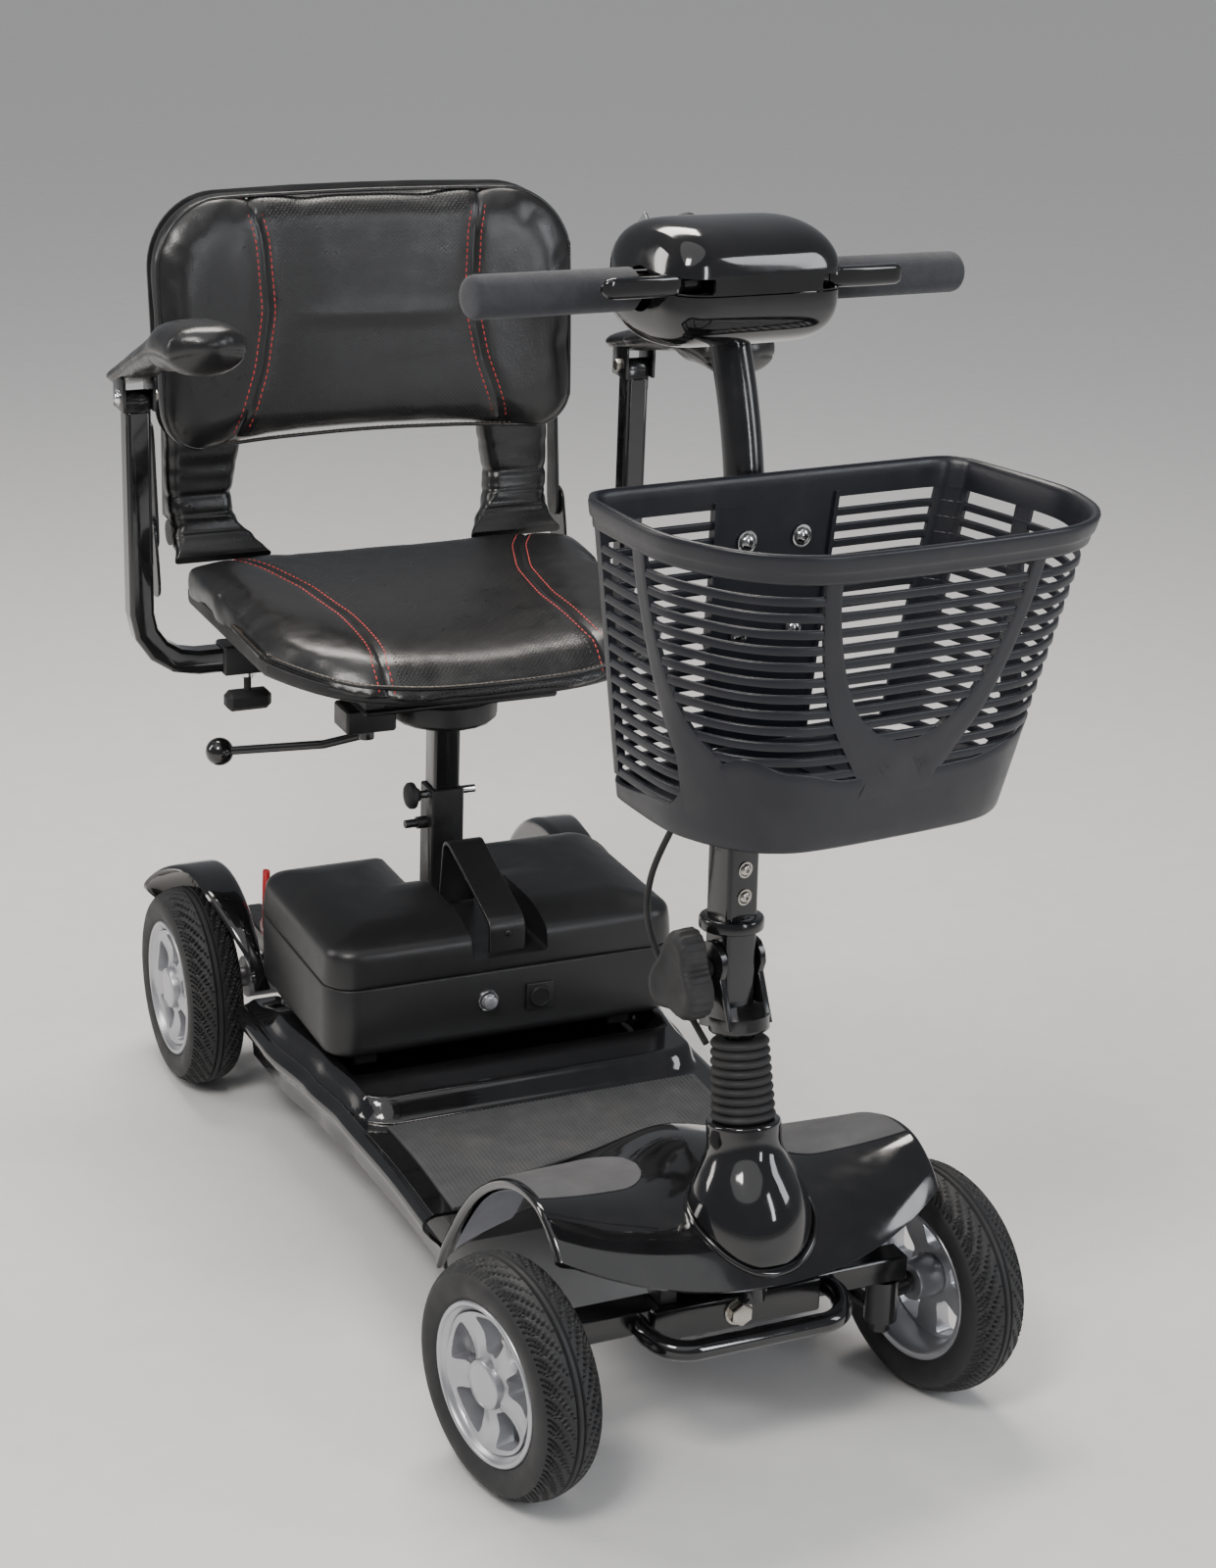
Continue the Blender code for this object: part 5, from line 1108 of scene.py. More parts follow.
def wall(u, z, out=0.0):
    """A point of the basket wall, u metres round from the middle of the front, moved outwards by out."""
    k = float(np.interp(abs(u), WALL_REACH, WALL_INDEX))
    k = k if u >= 0 else 2 * FRONT_MIDDLE - k
    ring = basket_ring(z)
    place = curve_point(ring, k, True)
    if out:
        ahead = curve_point(ring, k + 0.02, True) - curve_point(ring, k - 0.02, True)
        place = place + ahead.cross(Z_AXIS).normalized() * -out
    return place


def wall_strip(left, right, rows, columns, front, back):
    """A curved plate on the wall between two edges; left and right give (u, z) at a share of its length."""
    rings = []
    for i in range(rows + 1):
        share = i / rows
        (ul, zl), (ur, zr) = left(share), right(share)
        face, rear = [], []
        for j in range(columns + 1):
            t = j / columns
            u, z = ul + (ur - ul) * t, zl + (zr - zl) * t
            edge = min(1.0, 4.0 * min(t, 1 - t))
            swell = front * math.sin(edge * math.pi / 2) ** 0.5 if edge < 1 else front
            face.append(wall(u, z, swell))
            rear.append(wall(u, z, back))
        rings.append(face + rear[::-1])
    return loft(rings)


def read_line(pairs, side, shift=0.0):
    """A smooth (u, z) edge through its points, on one side."""
    points = [Vector((side * u + shift, z, 0)) for u, z in pairs]

    def edge(share):
        p = curve_point(points, share * (len(points) - 1) * 0.9999)
        return p.x, p.y
    return edge


def upright(u):
    """An upright edge from the lower band to the rim."""
    return lambda share: (u, PANEL_LOW + PANEL_TALL * share)


def band_top(u):
    """The upper edge of the solid lower band: a smile across the front, level at the sides."""
    v = abs(u)
    return blend_steps([(0.0, 0.629), (0.060, 0.631), (0.110, 0.640), (0.146, 0.650), (0.180, 0.636),
                        (0.212, 0.600), (0.300, 0.590), (0.390, 0.592), (WALL_END, 0.598)], v)


def band_section(u):
    """The closed outline of the lower band at u, from its foot up and back down inside."""
    low, top = BASKET_LOW, band_top(u)
    levels = [(low + 0.0030, 0.0), (low + 0.012, 0.0002)]
    levels += [(low + 0.012 + (top - low - 0.012) * j / 5, 0.0002) for j in range(1, 5)]
    levels += [(top - 0.0014, 0.0004), (top - 0.0004, -0.0002), (top, -0.0012), (top - 0.0002, -0.0030),
               (top - 0.0015, INSIDE), (low + 0.006, INSIDE), (low + 0.0022, INSIDE + 0.0004),
               (low + 0.0002, -0.0034), (low + 0.0003, -0.0018), (low + 0.0012, -0.0006)]
    return [wall(u, z, out) for z, out in levels]


def make_basket():
    body, slot = "tiller", "grey_plastic"
    round_wall = [WALL_END * (-1 + 2 * i / COLUMNS) for i in range(COLUMNS)]
    # slats
    bm = bmesh.new()
    section = [(b, a) for a, b in rounded_box(0.0017, 0.0033, 0.0013, 3)]
    end = WALL_END - 0.048
    reach = [end * (-1 + 2 * i / 150) for i in range(151)]
    for n in range(SLATS):
        swept([wall(u, SLAT_LOW + SLAT_PITCH * n, INSIDE / 2) for u in reach], section, Z_AXIS, bm)
    solid("basket_slats", bm, SLATE, body, sharp=60)
    # lower band and floor
    bm = grid([band_section(u) for u in round_wall], around=True, along=True)
    edge = [wall(u, BASKET_LOW + 0.004, -0.003) for u in round_wall]
    heart = sum(edge, Vector()) / COLUMNS
    floor_rows = [[heart + (p - heart) * size for p in edge] for size in (1.0, 0.8, 0.55, 0.3, 0.06)]
    under = [[p - Z_AXIS * 0.0030 for p in row] for row in floor_rows]
    grid(floor_rows[::-1] + under, bm, around=True, caps=True)
    solid("basket_lower_band", bm, SLATE, body, ("basket",), sharp=50)
    # ribs under the floor
    bm = bmesh.new()
    for i in range(-4, 5):
        x = 0.024 * i
        front = -0.110 if abs(i) < 4 else -0.090
        block(x - 0.0012, x + 0.0012, front, 0.008, BASKET_LOW + 0.0036, BASKET_LOW + 0.0062, 0.0006, 2, bm)
    solid("basket_floor_ribs", bm, SLATE, body)
    # rim, as (out, height under the top)
    lip = [(-0.0042, 0.0230), (-0.0002, 0.0230), (0.0016, 0.0218), (0.0020, 0.0195), (0.0018, 0.0150),
           (0.0030, 0.0135), (0.0036, 0.0118), (0.0038, 0.0060), (0.0039, 0.0022), (0.0030, 0.0006),
           (0.0012, 0.0001), (-0.0012, 0.0005), (-0.0028, 0.0020), (-0.0036, 0.0048), (-0.0040, 0.0100)]
    rings = [[wall(u, BASKET_TOP - down, out) for out, down in lip] for u in round_wall]
    solid("basket_rim", grid(rings, around=True, along=True), SLATE, body, sharp=60)
    # pillars, sweeping edges and the U in front
    plates = bmesh.new()

    def add(left, right, rows, columns, front=0.0006, back=INSIDE):
        join(plates, wall_strip(left, right, rows, columns, front, back))

    outer = [(0.247, 0.788), (0.245, 0.765), (0.240, 0.740), (0.233, 0.712), (0.224, 0.685), (0.213, 0.660),
             (0.202, 0.636), (0.197, 0.596)]
    inner = [(0.233, 0.788), (0.231, 0.765), (0.226, 0.740), (0.217, 0.712), (0.204, 0.685), (0.186, 0.662),
             (0.163, 0.643), (0.140, 0.610)]
    for side in (-1, 1):
        add(read_line(outer, side), read_line(inner, side), 40, 8)
        add(upright(side * (WALL_END - 0.171)), upright(side * (WALL_END - 0.140)), 14, 8)
    arm_out = [(-0.090, 0.788), (-0.089, 0.760), (-0.086, 0.730), (-0.080, 0.700), (-0.070, 0.672),
               (-0.056, 0.650), (-0.044, 0.632), (-0.030, 0.610)]
    arm_in = [(-0.079, 0.788), (-0.077, 0.760), (-0.071, 0.730), (-0.062, 0.702), (-0.049, 0.680),
              (-0.033, 0.666), (-0.015, 0.6575), (0.0, 0.6560)]
    for side in (-1, 1):
        add(read_line(arm_out, side, U_SHIFT), read_line(arm_in, side, U_SHIFT), 44, 9)
    add(lambda t: (-0.040 + 0.080 * t + U_SHIFT, 0.610), lambda t: (-0.018 + 0.036 * t + U_SHIFT, 0.6565),
        20, 6)
    # rear plate and the ledges at its ends
    for side in (1, -1):
        add(upright(side * (WALL_END - 0.052)), upright(side * WALL_END), 14, 10, 0.0002)
    for side in (-1, 1):
        add(upright(side * (WALL_END - 0.0535)), upright(side * (WALL_END - 0.0500)), 8, 3, 0.0004,
            INSIDE - 0.0022)
    solid("basket_solid_panels", plates, SLATE, body, sharp=50)
    cad_copy("basket_bracket", FRAME, "tiller", 0.0008)
    for n, (x, z) in enumerate(SCREWS):
        dome_screw(at(x, PLATE_STATION - 0.0092, z), -Y_AXIS, 0.0068, 0.0044, "basket_screw_%d" % (n + 1),
                   "tiller", CHROME, 0.0088)


# ---------------------------------------------------------------- handlebar and console
BAR_STATION, BAR_Z, BAR_HALF, BAR_R, GRIP_R, GRIP_START = 0.102, 0.931, 0.228, 0.011, 0.016, 0.088
CONSOLE_HALF, CONSOLE_WALL = 0.0796, 0.0028


def make_handlebar():
    bm = soft_rod(at(-BAR_HALF + 0.004, BAR_STATION, BAR_Z), at(BAR_HALF - 0.004, BAR_STATION, BAR_Z), BAR_R)
    block(-0.018, 0.018, BAR_STATION - 0.015, BAR_STATION + 0.015, 0.9140, 0.9480, 0.003, 3, bm)
    solid("handlebar_tube", bm, STEEL, "tiller", ("handlebar",))
    length, bore = BAR_HALF - GRIP_START, BAR_R + 0.0003
    profile = [(0, length - 0.0035), (bore, length - 0.0035), (bore, 0.0), (GRIP_R - 0.001, 0.0),
               (GRIP_R, 0.001), (GRIP_R, length * 0.5), (GRIP_R, length - 0.0060),
               (GRIP_R - 0.0006, length - 0.0032), (GRIP_R - 0.0022, length - 0.0014),
               (GRIP_R - 0.0050, length - 0.0004), (0.0060, length), (0, length + 0.0001)]
    for label, side in SIDES:
        bm = turned(profile, at(side * GRIP_START, BAR_STATION, BAR_Z), X_AXIS * side, 56)
        solid("grip_" + label + "_foam", bm, FOAM, "tiller", ("grip_" + label,), sharp=60)


def console_ring(x, inset):
    """The side outline of the console at offset x: a leaning, rounded wedge."""
    share = min(abs(x) / 0.0800, 1.0)
    shrink = math.sqrt(max(0.0, 1 - share**7.5))
    top = BAR_Z + 0.004 + 0.046 * shrink - inset
    low = BAR_Z - 0.006 - 0.038 * shrink + inset
    front = BAR_STATION - 0.022 - 0.032 * shrink + inset
    rear = BAR_STATION + 0.022 + 0.036 * shrink - inset
    return front, rear, low, top


def console_half(keep_upper, inset, split, ends):
    rings = []
    for i in range(-22, 23):
        x = ends * math.sin(math.pi / 2 * i / 22)
        front, rear, low, top = console_ring(x, inset)
        middle, half = (front + rear) / 2, (rear - front) / 2
        reach = top - split if keep_upper else low - split
        ring = []
        for j in range(31):
            turn = math.pi * j / 30
            ring.append(at(x, middle + half * math.cos(turn),
                           split + reach * max(0.0, math.sin(turn)) ** 0.55))
        rings.append(ring)
    return loft(rings)


FACE_TILT = math.radians(40)
FACE_NORMAL = Vector((0.0, math.cos(FACE_TILT), math.sin(FACE_TILT)))
FACE_UP = Vector((0.0, -math.sin(FACE_TILT), math.cos(FACE_TILT)))


def face_point(x, out):
    return at(x, 0.1545, 0.9602) + FACE_NORMAL * out


def face_plate(half_x, half_up, corner, low, high, middle=(0.0, 0.0)):
    outline = rounded_box(half_x, half_up, corner, 6)
    rings = []
    for out, size in ((low, 1.0), (high - 0.0006, 1.0), (high, 0.985)):
        rings.append([face_point(middle[0] + a * size, out) + FACE_UP * (middle[1] + b * size)
                      for a, b in outline])
    return loft(rings)


def make_console():
    split = BAR_Z + 0.002
    shells = []
    for name, node, upper, gap in (("console_base_shell", "console_base", False, -0.0006),
                                   ("console_hood", "console_cover", True, 0.0004)):
        shells.append(solid(name, console_half(upper, 0.0, split + gap, CONSOLE_HALF), GLOSS, "tiller",
                            (node,), sharp=45))
    for shell, upper, past in zip(shells, (False, True), (0.004, -0.004)):
        cut_with(shell, [console_half(upper, CONSOLE_WALL, split + past, CONSOLE_HALF - 0.003)])
    for shell in shells:
        tools = [soft_rod(at(-0.12, BAR_STATION, BAR_Z), at(0.12, BAR_STATION, BAR_Z), GRIP_R + 0.0008,
                          steps=40)]
        for side in (-1, 1):
            tools.append(block(side * 0.050, side * 0.120, 0.0465, 0.0835, 0.9345, 0.9457, 0.002))
        cut_with(shell, tools)
    neck = [tiller_point(0.84), tiller_point(0.87), tiller_point(0.90), at(0, 0.106, 0.925)]
    cut_with(shells[0], [swept(neck, oval(28, 0.0166), X_AXIS)])
    for shell in shells:
        soften(shell, 0.0007, 45)
    solid("console_face", face_plate(0.0520, 0.0150, 0.0060, -0.0150, 0.0), PLASTIC, "tiller")
    bezel = [(0.0136, 0.0), (0.0160, 0.0), (0.0160, 0.0006), (0.0150, 0.0012), (0.0138, 0.0012)]
    bm = turned(bezel, face_point(0, 0), FACE_NORMAL, 56)
    for n in range(11):
        turn = math.radians(-135 + 27 * n)
        long = X_AXIS * math.sin(turn) + FACE_UP * math.cos(turn)
        heart = face_point(0, 0.0003) + long * 0.0176
        wide = long.cross(FACE_NORMAL)
        ring = [heart + long * a + wide * b
                for a, b in ((0.0013, 0.0003), (-0.0013, 0.0003), (-0.0013, -0.0003), (0.0013, -0.0003))]
        loft([ring, [p + FACE_NORMAL * 0.0004 for p in ring]], bm)
    solid("dial_scale", bm, MARKING, "tiller")
    rings = []
    for out, size, ribbed in ((0.0004, 1.0, 0.6), (0.0030, 1.0, 1.0), (0.0085, 0.90, 1.0),
                              (0.0100, 0.86, 0.4), (0.0105, 0.78, 0.0), (0.0102, 0.70, 0.0)):
        ring = []
        for turn in turns(96):
            reach = 0.0135 * size - ribbed * 0.0005 * (0.5 + 0.5 * math.cos(24 * turn))
            ring.append(face_point(0, out) + (X_AXIS * math.cos(turn) + FACE_UP * math.sin(turn)) * reach)
        rings.append(ring)
    solid("speed_dial_knob", loft(rings), SOFT_BLACK, "dial", ("speed_dial",), sharp=50)
    ring = [face_point(0, 0.0103) + X_AXIS * a + FACE_UP * b
            for a, b in ((0.0006, 0.002), (0.0006, 0.0095), (-0.0006, 0.0095), (-0.0006, 0.002))]
    solid("speed_dial_pointer", loft([ring, [p + FACE_NORMAL * 0.0005 for p in ring]]), MARKING, "dial")
    cad_copy("ignition_key", CHROME, "key", 0.0004)
    horn = [(0, 0.0033), (0.0076, 0.0033), (0.0076, 0.0052), (0.0071, 0.0064), (0.0060, 0.0071), (0, 0.0075)]
    solid("horn_button_cap", turned(horn, face_point(0.036, 0), FACE_NORMAL, 40), RED, "horn",
          ("horn_button",))
    collar = [(0.0080, 0.0), (0.0096, 0.0), (0.0096, 0.0018), (0.0088, 0.0026), (0.0080, 0.0026)]
    solid("horn_button_collar", turned(collar, face_point(0.036, 0), FACE_NORMAL, 40), PLASTIC, "tiller")
    for n in range(3):
        bm = turned([(0, 0.0), (0.0016, 0.0), (0.0016, 0.0006), (0.0010, 0.0011), (0, 0.0013)],
                    face_point(-0.006 + 0.006 * n, 0.0) - FACE_UP * 0.0125, FACE_NORMAL, 20)
        solid("charge_lamp_%d" % (n + 1), bm, GREEN, "tiller")
    make_throttle()
    dome_screw(at(0.020, 0.0560, 0.9085), Vector((0, -0.75, -0.6)), 0.0034, 0.0018, "console_screw",
               "tiller", CHROME)


def paddle_size(share):
    """How full a paddle is along its length: round at its tip, narrower at its root."""
    tip, root = max(0.0, (share - 0.88) / 0.125), max(0.0, (0.10 - share) / 0.12)
    return math.sqrt(max(0.04, 1 - tip ** 2 - root ** 2))


def make_throttle():
    hinge = at(0, 0.066, 0.9400)
    bm = soft_rod(hinge - Z_AXIS * 0.006, hinge + Z_AXIS * 0.006, 0.0080)
    block(-0.086, 0.086, 0.0632, 0.0684, 0.9360, 0.9440, 0.001, 2, bm)
    section = rounded_box(0.0042, 0.0078, 0.0030, 5)
    for side in (-1, 1):
        path = [at(side * (0.0680 + 0.0720 * i / 20), 0.0650 - 0.0018 * math.sin(math.pi * i / 20), 0.9400)
                for i in range(21)]
        swept(path, section, Y_AXIS, bm, scale=paddle_size)
    solid("throttle_paddles", bm, GLOSS, "throttle", ("throttle_lever",), sharp=50)


# ---------------------------------------------------------------- wiring
CABLE_R = 0.0027


def make_cable():
    route = [
        at(-0.012, 0.0560, 0.5600), at(-0.026, 0.0620, 0.5360), at(-0.036, 0.0720, 0.5040),
        at(-0.040, 0.0830, 0.4680), at(-0.036, 0.0880, 0.4320), at(-0.026, 0.0800, 0.3960),
        at(-0.016, 0.0620, 0.3680), at(-0.011, 0.0460, 0.3500), at(-0.010, 0.0330, 0.3400),
    ]
    path = [TURNED @ p for p in fine(route, 6)]
    bm = swept(path, oval(14, CABLE_R), X_AXIS)
    bmesh.ops.recalc_face_normals(bm, faces=bm.faces)
    loom = put("wiring_loom", as_mesh("wiring_loom", bm), SOFT_BLACK, "tiller", ("wiring_cable",),
               sharp=60, ride=False)
    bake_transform(loom)


make_tiller()
make_tiller_knob()
make_basket()
make_handlebar()
make_console()
make_cable()


# ---------------------------------------------------------------- padded pieces
SEAM_WIDTH, SEAM_OFFSET = 0.0016, 0.0068
SEAM_LINES = [(side, offset) for side in (-1, 1) for offset in (-SEAM_OFFSET, SEAM_OFFSET)]
CLOTH_FRAMES, CUSHION_FILL = 20, 0.55


def coordinates(mesh):
    values = np.zeros(len(mesh.vertices) * 3)
    mesh.vertices.foreach_get("co", values)
    return values.reshape(-1, 3)


def normals(mesh):
    values = np.zeros(len(mesh.vertices) * 3)
    mesh.vertex_normals.foreach_get("vector", values)
    return values.reshape(-1, 3)


def puffed(name, bm, voxel, cap, relax):
    """A remeshed body blown up by a cloth simulation, each point moving no further than the cap."""
    bmesh.ops.recalc_face_normals(bm, faces=bm.faces)
    piece = link(name, as_mesh(name, bm))
    remesh = piece.modifiers.new("remesh", "REMESH")
    remesh.mode = "VOXEL"
    remesh.voxel_size = voxel
    settle(piece)
    cloth = piece.modifiers.new("cloth", "CLOTH")
    cloth.settings.use_pressure = True
    cloth.settings.uniform_pressure_force = 4.0
    cloth.settings.effector_weights.gravity = 0.0
    cloth.settings.quality = 4
    cloth.collision_settings.use_collision = False
    cloth.point_cache.frame_start = 1
    cloth.point_cache.frame_end = CLOTH_FRAMES
    scene = bpy.context.scene
    for number in range(1, CLOTH_FRAMES + 1):
        scene.frame_set(number)
    blown = piece.evaluated_get(bpy.context.evaluated_depsgraph_get()).to_mesh()
    start, end = coordinates(piece.data), coordinates(blown)
    move = end - start
    far = np.linalg.norm(move, axis=1)
    scale = np.where(far > 1e-9, cap * np.tanh(far / cap) / np.maximum(far, 1e-9), 0.0)
    piece.modifiers.clear()
    piece.data.vertices.foreach_set("co", (start + move * scale[:, None]).ravel())
    scene.frame_set(1)
    smooth = piece.modifiers.new("relax", "SMOOTH")
    smooth.iterations = relax
    smooth.factor = 0.5
    grow = piece.modifiers.new("grow", "SUBSURF")
    grow.levels = grow.render_levels = 1
    settle(piece)
    return piece


def finish_pad(piece, finish, body, node):
    mesh = piece.data
    mesh.materials.clear()
    mesh.materials.append(finish)
    mesh.shade_smooth()
    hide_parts(node)
    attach(piece, body)


def sew(piece, within, facing, place):
    """Press seams into a cushion and mark its perforated middle.

    within gives how far each point lies inside its nearest seam, facing how far it looks towards the front,
    and place where it is in the pattern of holes."""
    points, ways = coordinates(piece.data), normals(piece.data)
    gap = np.abs(within(points))
    front = np.clip(facing(ways) * 2.2, 0.0, 1.0)
    depth = 0.0016 * np.exp(-((gap / SEAM_WIDTH) ** 2)) + 0.0016 * np.exp(-((gap / 0.010) ** 2))
    points = points - ways * (depth * front)[:, None]
    piece.data.vertices.foreach_set("co", points.ravel())
    mask = piece.data.attributes.new("perforated", "FLOAT", "POINT")
    inside = np.clip((within(points) - 0.0120) / 0.0012, 0.0, 1.0) * np.clip(front * 1.5 - 0.2, 0, 1)
    mask.data.foreach_set("value", inside.astype(np.float32))
    spot = piece.data.attributes.new("weave_place", "FLOAT_VECTOR", "POINT")
    spot.data.foreach_set("vector", place(points).astype(np.float32).ravel())
    piece.data.update()


def surface_of(piece):
    return BVHTree.FromObject(piece, bpy.context.evaluated_depsgraph_get())


def traced(tree, rays):
    """Where rays, as (start, direction), meet a surface; the ones that miss are left out."""
    hits = [tree.ray_cast(start, way)[0] for start, way in rays]
    return [hit for hit in hits if hit]


def add_stitch(bm, start, end, radius):
    axis = end - start
    length = axis.length
    profile = [(0, 0), (radius * 0.75, length * 0.10), (radius, length * 0.30), (radius, length * 0.70),
               (radius * 0.75, length * 0.90), (0, length)]
    turned(profile, start, axis, 6, bm)


def stitch_line(bm, points, stitch=0.0044, gap=0.0019, radius=0.00062):
    """Dashes along a line that lies on a surface."""
    reach = [0.0]
    for a, b in zip(points, points[1:]):
        reach.append(reach[-1] + (b - a).length)

    def spot(distance):
        i = int(np.searchsorted(reach, distance)) - 1
        i = max(0, min(i, len(points) - 2))
        span = reach[i + 1] - reach[i]
        return points[i].lerp(points[i + 1], (distance - reach[i]) / span if span else 0.0)
    travelled = 0.002
    while travelled + stitch < reach[-1]:
        add_stitch(bm, spot(travelled), spot(travelled + stitch), radius)
        travelled += stitch + gap


def smooth_line(points, rounds=3):
    for _ in range(rounds):
        inner = [(a + b * 2 + c) / 4 for a, b, c in zip(points, points[1:], points[2:])]
        points = [points[0]] + inner + [points[-1]]
    return points


# ---------------------------------------------------------------- seat
SEAT_Z, SEAT_HALF = 0.478, 0.206
SEAT_SEAM = [(0.500, 0.530), (0.560, 0.505), (0.640, 0.500), (0.720, 0.545), (0.780, 0.640), (0.830, 0.790),
             (0.870, 0.930)]


def seat_section(x, inset):
    """The side outline of the seat at offset x, as (station, height)."""
    share = min(abs(x) / SEAT_HALF, 1.0)
    edge = share**4
    front = 0.496 + 0.092 * edge + inset
    rear = 0.866 - 0.040 * edge - inset
    top = 0.516 + 0.030 * share**2.4 - 0.014 * edge - inset
    low = SEAT_Z - 0.003 + 0.020 * share**3 + inset * 0.3
    drop = 0.026 * (1 - 0.5 * edge)
    return [
        (front + 0.010, low), (front, low + 0.012), (front + 0.004, top - drop), (front + 0.030, top - 0.010),
        (front + 0.090, top - 0.002), ((front + rear) / 2, top), (rear - 0.070, top + 0.004),
        (rear - 0.015, top + 0.004), (rear, top - 0.010), (rear - 0.004, low + 0.004), (rear - 0.050, low),
    ]


def seat_seam(station):
    return SEAT_HALF * np.interp(station, [s for s, _ in SEAT_SEAM], [v for _, v in SEAT_SEAM])


def make_seat():
    rings = []
    for i in range(-30, 31):
        x = (SEAT_HALF - 0.003) * math.sin(math.pi / 2 * i / 30)
        points = fine([Vector((s, z, 0)) for s, z in seat_section(x, 0.003)], 4, closed=True)
        rings.append([at(x, p.x, p.y) for p in points])
    seat = puffed("seat_cushion_cover", loft(rings), 0.0045, 0.008, relax=12)

    def within(points):
        return seat_seam(points[:, 1] - FRONT_AXLE_Y) - np.abs(points[:, 0])

    def facing(ways):
        return np.maximum(ways[:, 2], -ways[:, 1])

    def weave(points):
        run = points[:, 1] - np.maximum(0.0, 0.500 - points[:, 2]) * 0.8
        return np.stack([points[:, 0], run, np.zeros(len(points))], axis=1)
    sew(seat, within, facing, weave)
    tree = surface_of(seat)
    stitches = bmesh.new()
    for side, offset in SEAM_LINES:
        rays = []
        for i in range(80):
            s = 0.848 - (0.848 - 0.535) * i / 79
            slope = (seat_seam(s + 0.002) - seat_seam(s - 0.002)) / 0.004
            size = math.sqrt(1 + slope * slope)
            x = side * (seat_seam(s) + offset / size)
            rays.append((at(x, s - offset * slope / size, 0.70), -Z_AXIS))
        pin = at(side * (seat_seam(0.50) + offset), 0.535, 0.490)
        for i in range(1, 26):
            turn = math.radians(100 * i / 25)
            way = Vector((0, -math.sin(turn), math.cos(turn)))
            rays.append((pin + way * 0.12, -way))
        stitch_line(stitches, smooth_line(traced(tree, rays), 4))
    solid("seat_stitching", stitches, THREAD, "seat", sharp=80)
    finish_pad(seat, PERFORATED, "seat", "seat_cushion")
    # piping round the seat's lower edge, and the pan below it
    line = []
    for i in range(-60, 61):
        x = SEAT_HALF * 0.985 * math.sin(math.pi / 2 * i / 60)
        front, z = seat_section(x, 0.0)[1]
        hit = tree.ray_cast(at(x, front - 0.08, z + 0.003), Y_AXIS)[0]
        line.append(hit or at(x, front, z + 0.003))
    line = smooth_line(line, 6)
    solid("seat_edge_welt", swept([p - Y_AXIS * 0.0006 for p in line], oval(12, 0.0023), Z_AXIS), LEATHER,
          "seat", sharp=80)
    # stitches on the welt; their tan colour is a painted highlight along the seat's lower front edge
    bm = bmesh.new()
    stitch_line(bm, [p + Vector((0, -0.0026, 0.0020)) for p in line], 0.0036, 0.0016, 0.00045)
    solid("seat_welt_highlight_thread", bm, TAN_THREAD_HIGHLIGHT, "seat", sharp=80)
    rings = []
    for i in range(-24, 25):
        x = SEAT_HALF * 0.965 * math.sin(math.pi / 2 * i / 24)
        section = seat_section(x, 0.0)
        low = section[0][1]
        front, rear = section[1][0] + 0.005, section[8][0] - 0.006
        ring = [(front, low + 0.010), (front - 0.001, low + 0.002), (front + 0.002, low - 0.0015),
                (front + 0.006, low - 0.0030), (rear - 0.006, low - 0.0030), (rear - 0.001, low),
                (rear, low + 0.010)]
        rings.append([at(x, s, z) for s, z in ring])
    solid("seat_pan_moulding", loft(rings), PAN, "seat", bevel=0.0008)


# ---------------------------------------------------------------- backrest
BACK_STATION, BACK_HINGE_Z = 0.884, 0.544
BACK_LOW, BACK_HIGH, BACK_HALF = 0.623, 0.883, 0.2235


def back_outline(inset, steps=14):
    """The back seen from the front: round shoulders, tighter lower corners and a slightly arched foot."""
    half, low, high = BACK_HALF - inset, BACK_LOW + inset, BACK_HIGH - inset
    points = []
    for cx, cz, start, corner in ((1, 1, 0, 0.078), (-1, 1, 90, 0.078), (-1, 0, 180, 0.050),
                                  (1, 0, 270, 0.050)):
        corner = max(0.003, corner - inset)
        heart_x = cx * (half - corner)
        heart_z = high - corner if cz else low + corner
        for i in range(steps + 1):
            turn = math.radians(start + 90 * i / steps)
            points.append((heart_x + corner * math.cos(turn), heart_z + corner * math.sin(turn)))
        if cz and cx > 0:
            points += [(half * (0.60 - 0.30 * j), high) for j in range(1, 4)]
        if not cz and cx < 0:
            points += [(-half * (0.70 - 0.20 * j), low) for j in range(0, 8)]
    shaped = []
    for x, z in points:
        v = abs(x) / BACK_HALF
        up = (z - BACK_LOW) / (BACK_HIGH - BACK_LOW)
        lift = 0.011 * (1 - v * v) * (1 - up) ** 2 - 0.004 * v * v * up * up
        shaped.append((x * (1 - 0.018 * (1 - up)), z + lift))
    return shaped


def back_depth(x, depth, z):
    return BACK_STATION + depth - 0.020 * (abs(x) / BACK_HALF) ** 2.4 + 0.095 * (z - 0.700)


def back_loft(shape):
    """A solid of the back's outlines, from (depth, inset) pairs."""
    return loft([[at(x, back_depth(x, depth, z), z) for x, z in back_outline(inset)]
                 for depth, inset in shape])


def back_seam(z):
    return BACK_HALF * np.interp(z, [0.623, 0.655, 0.710, 0.765, 0.835, 0.883],
                                 [0.640, 0.600, 0.515, 0.470, 0.490, 0.545])


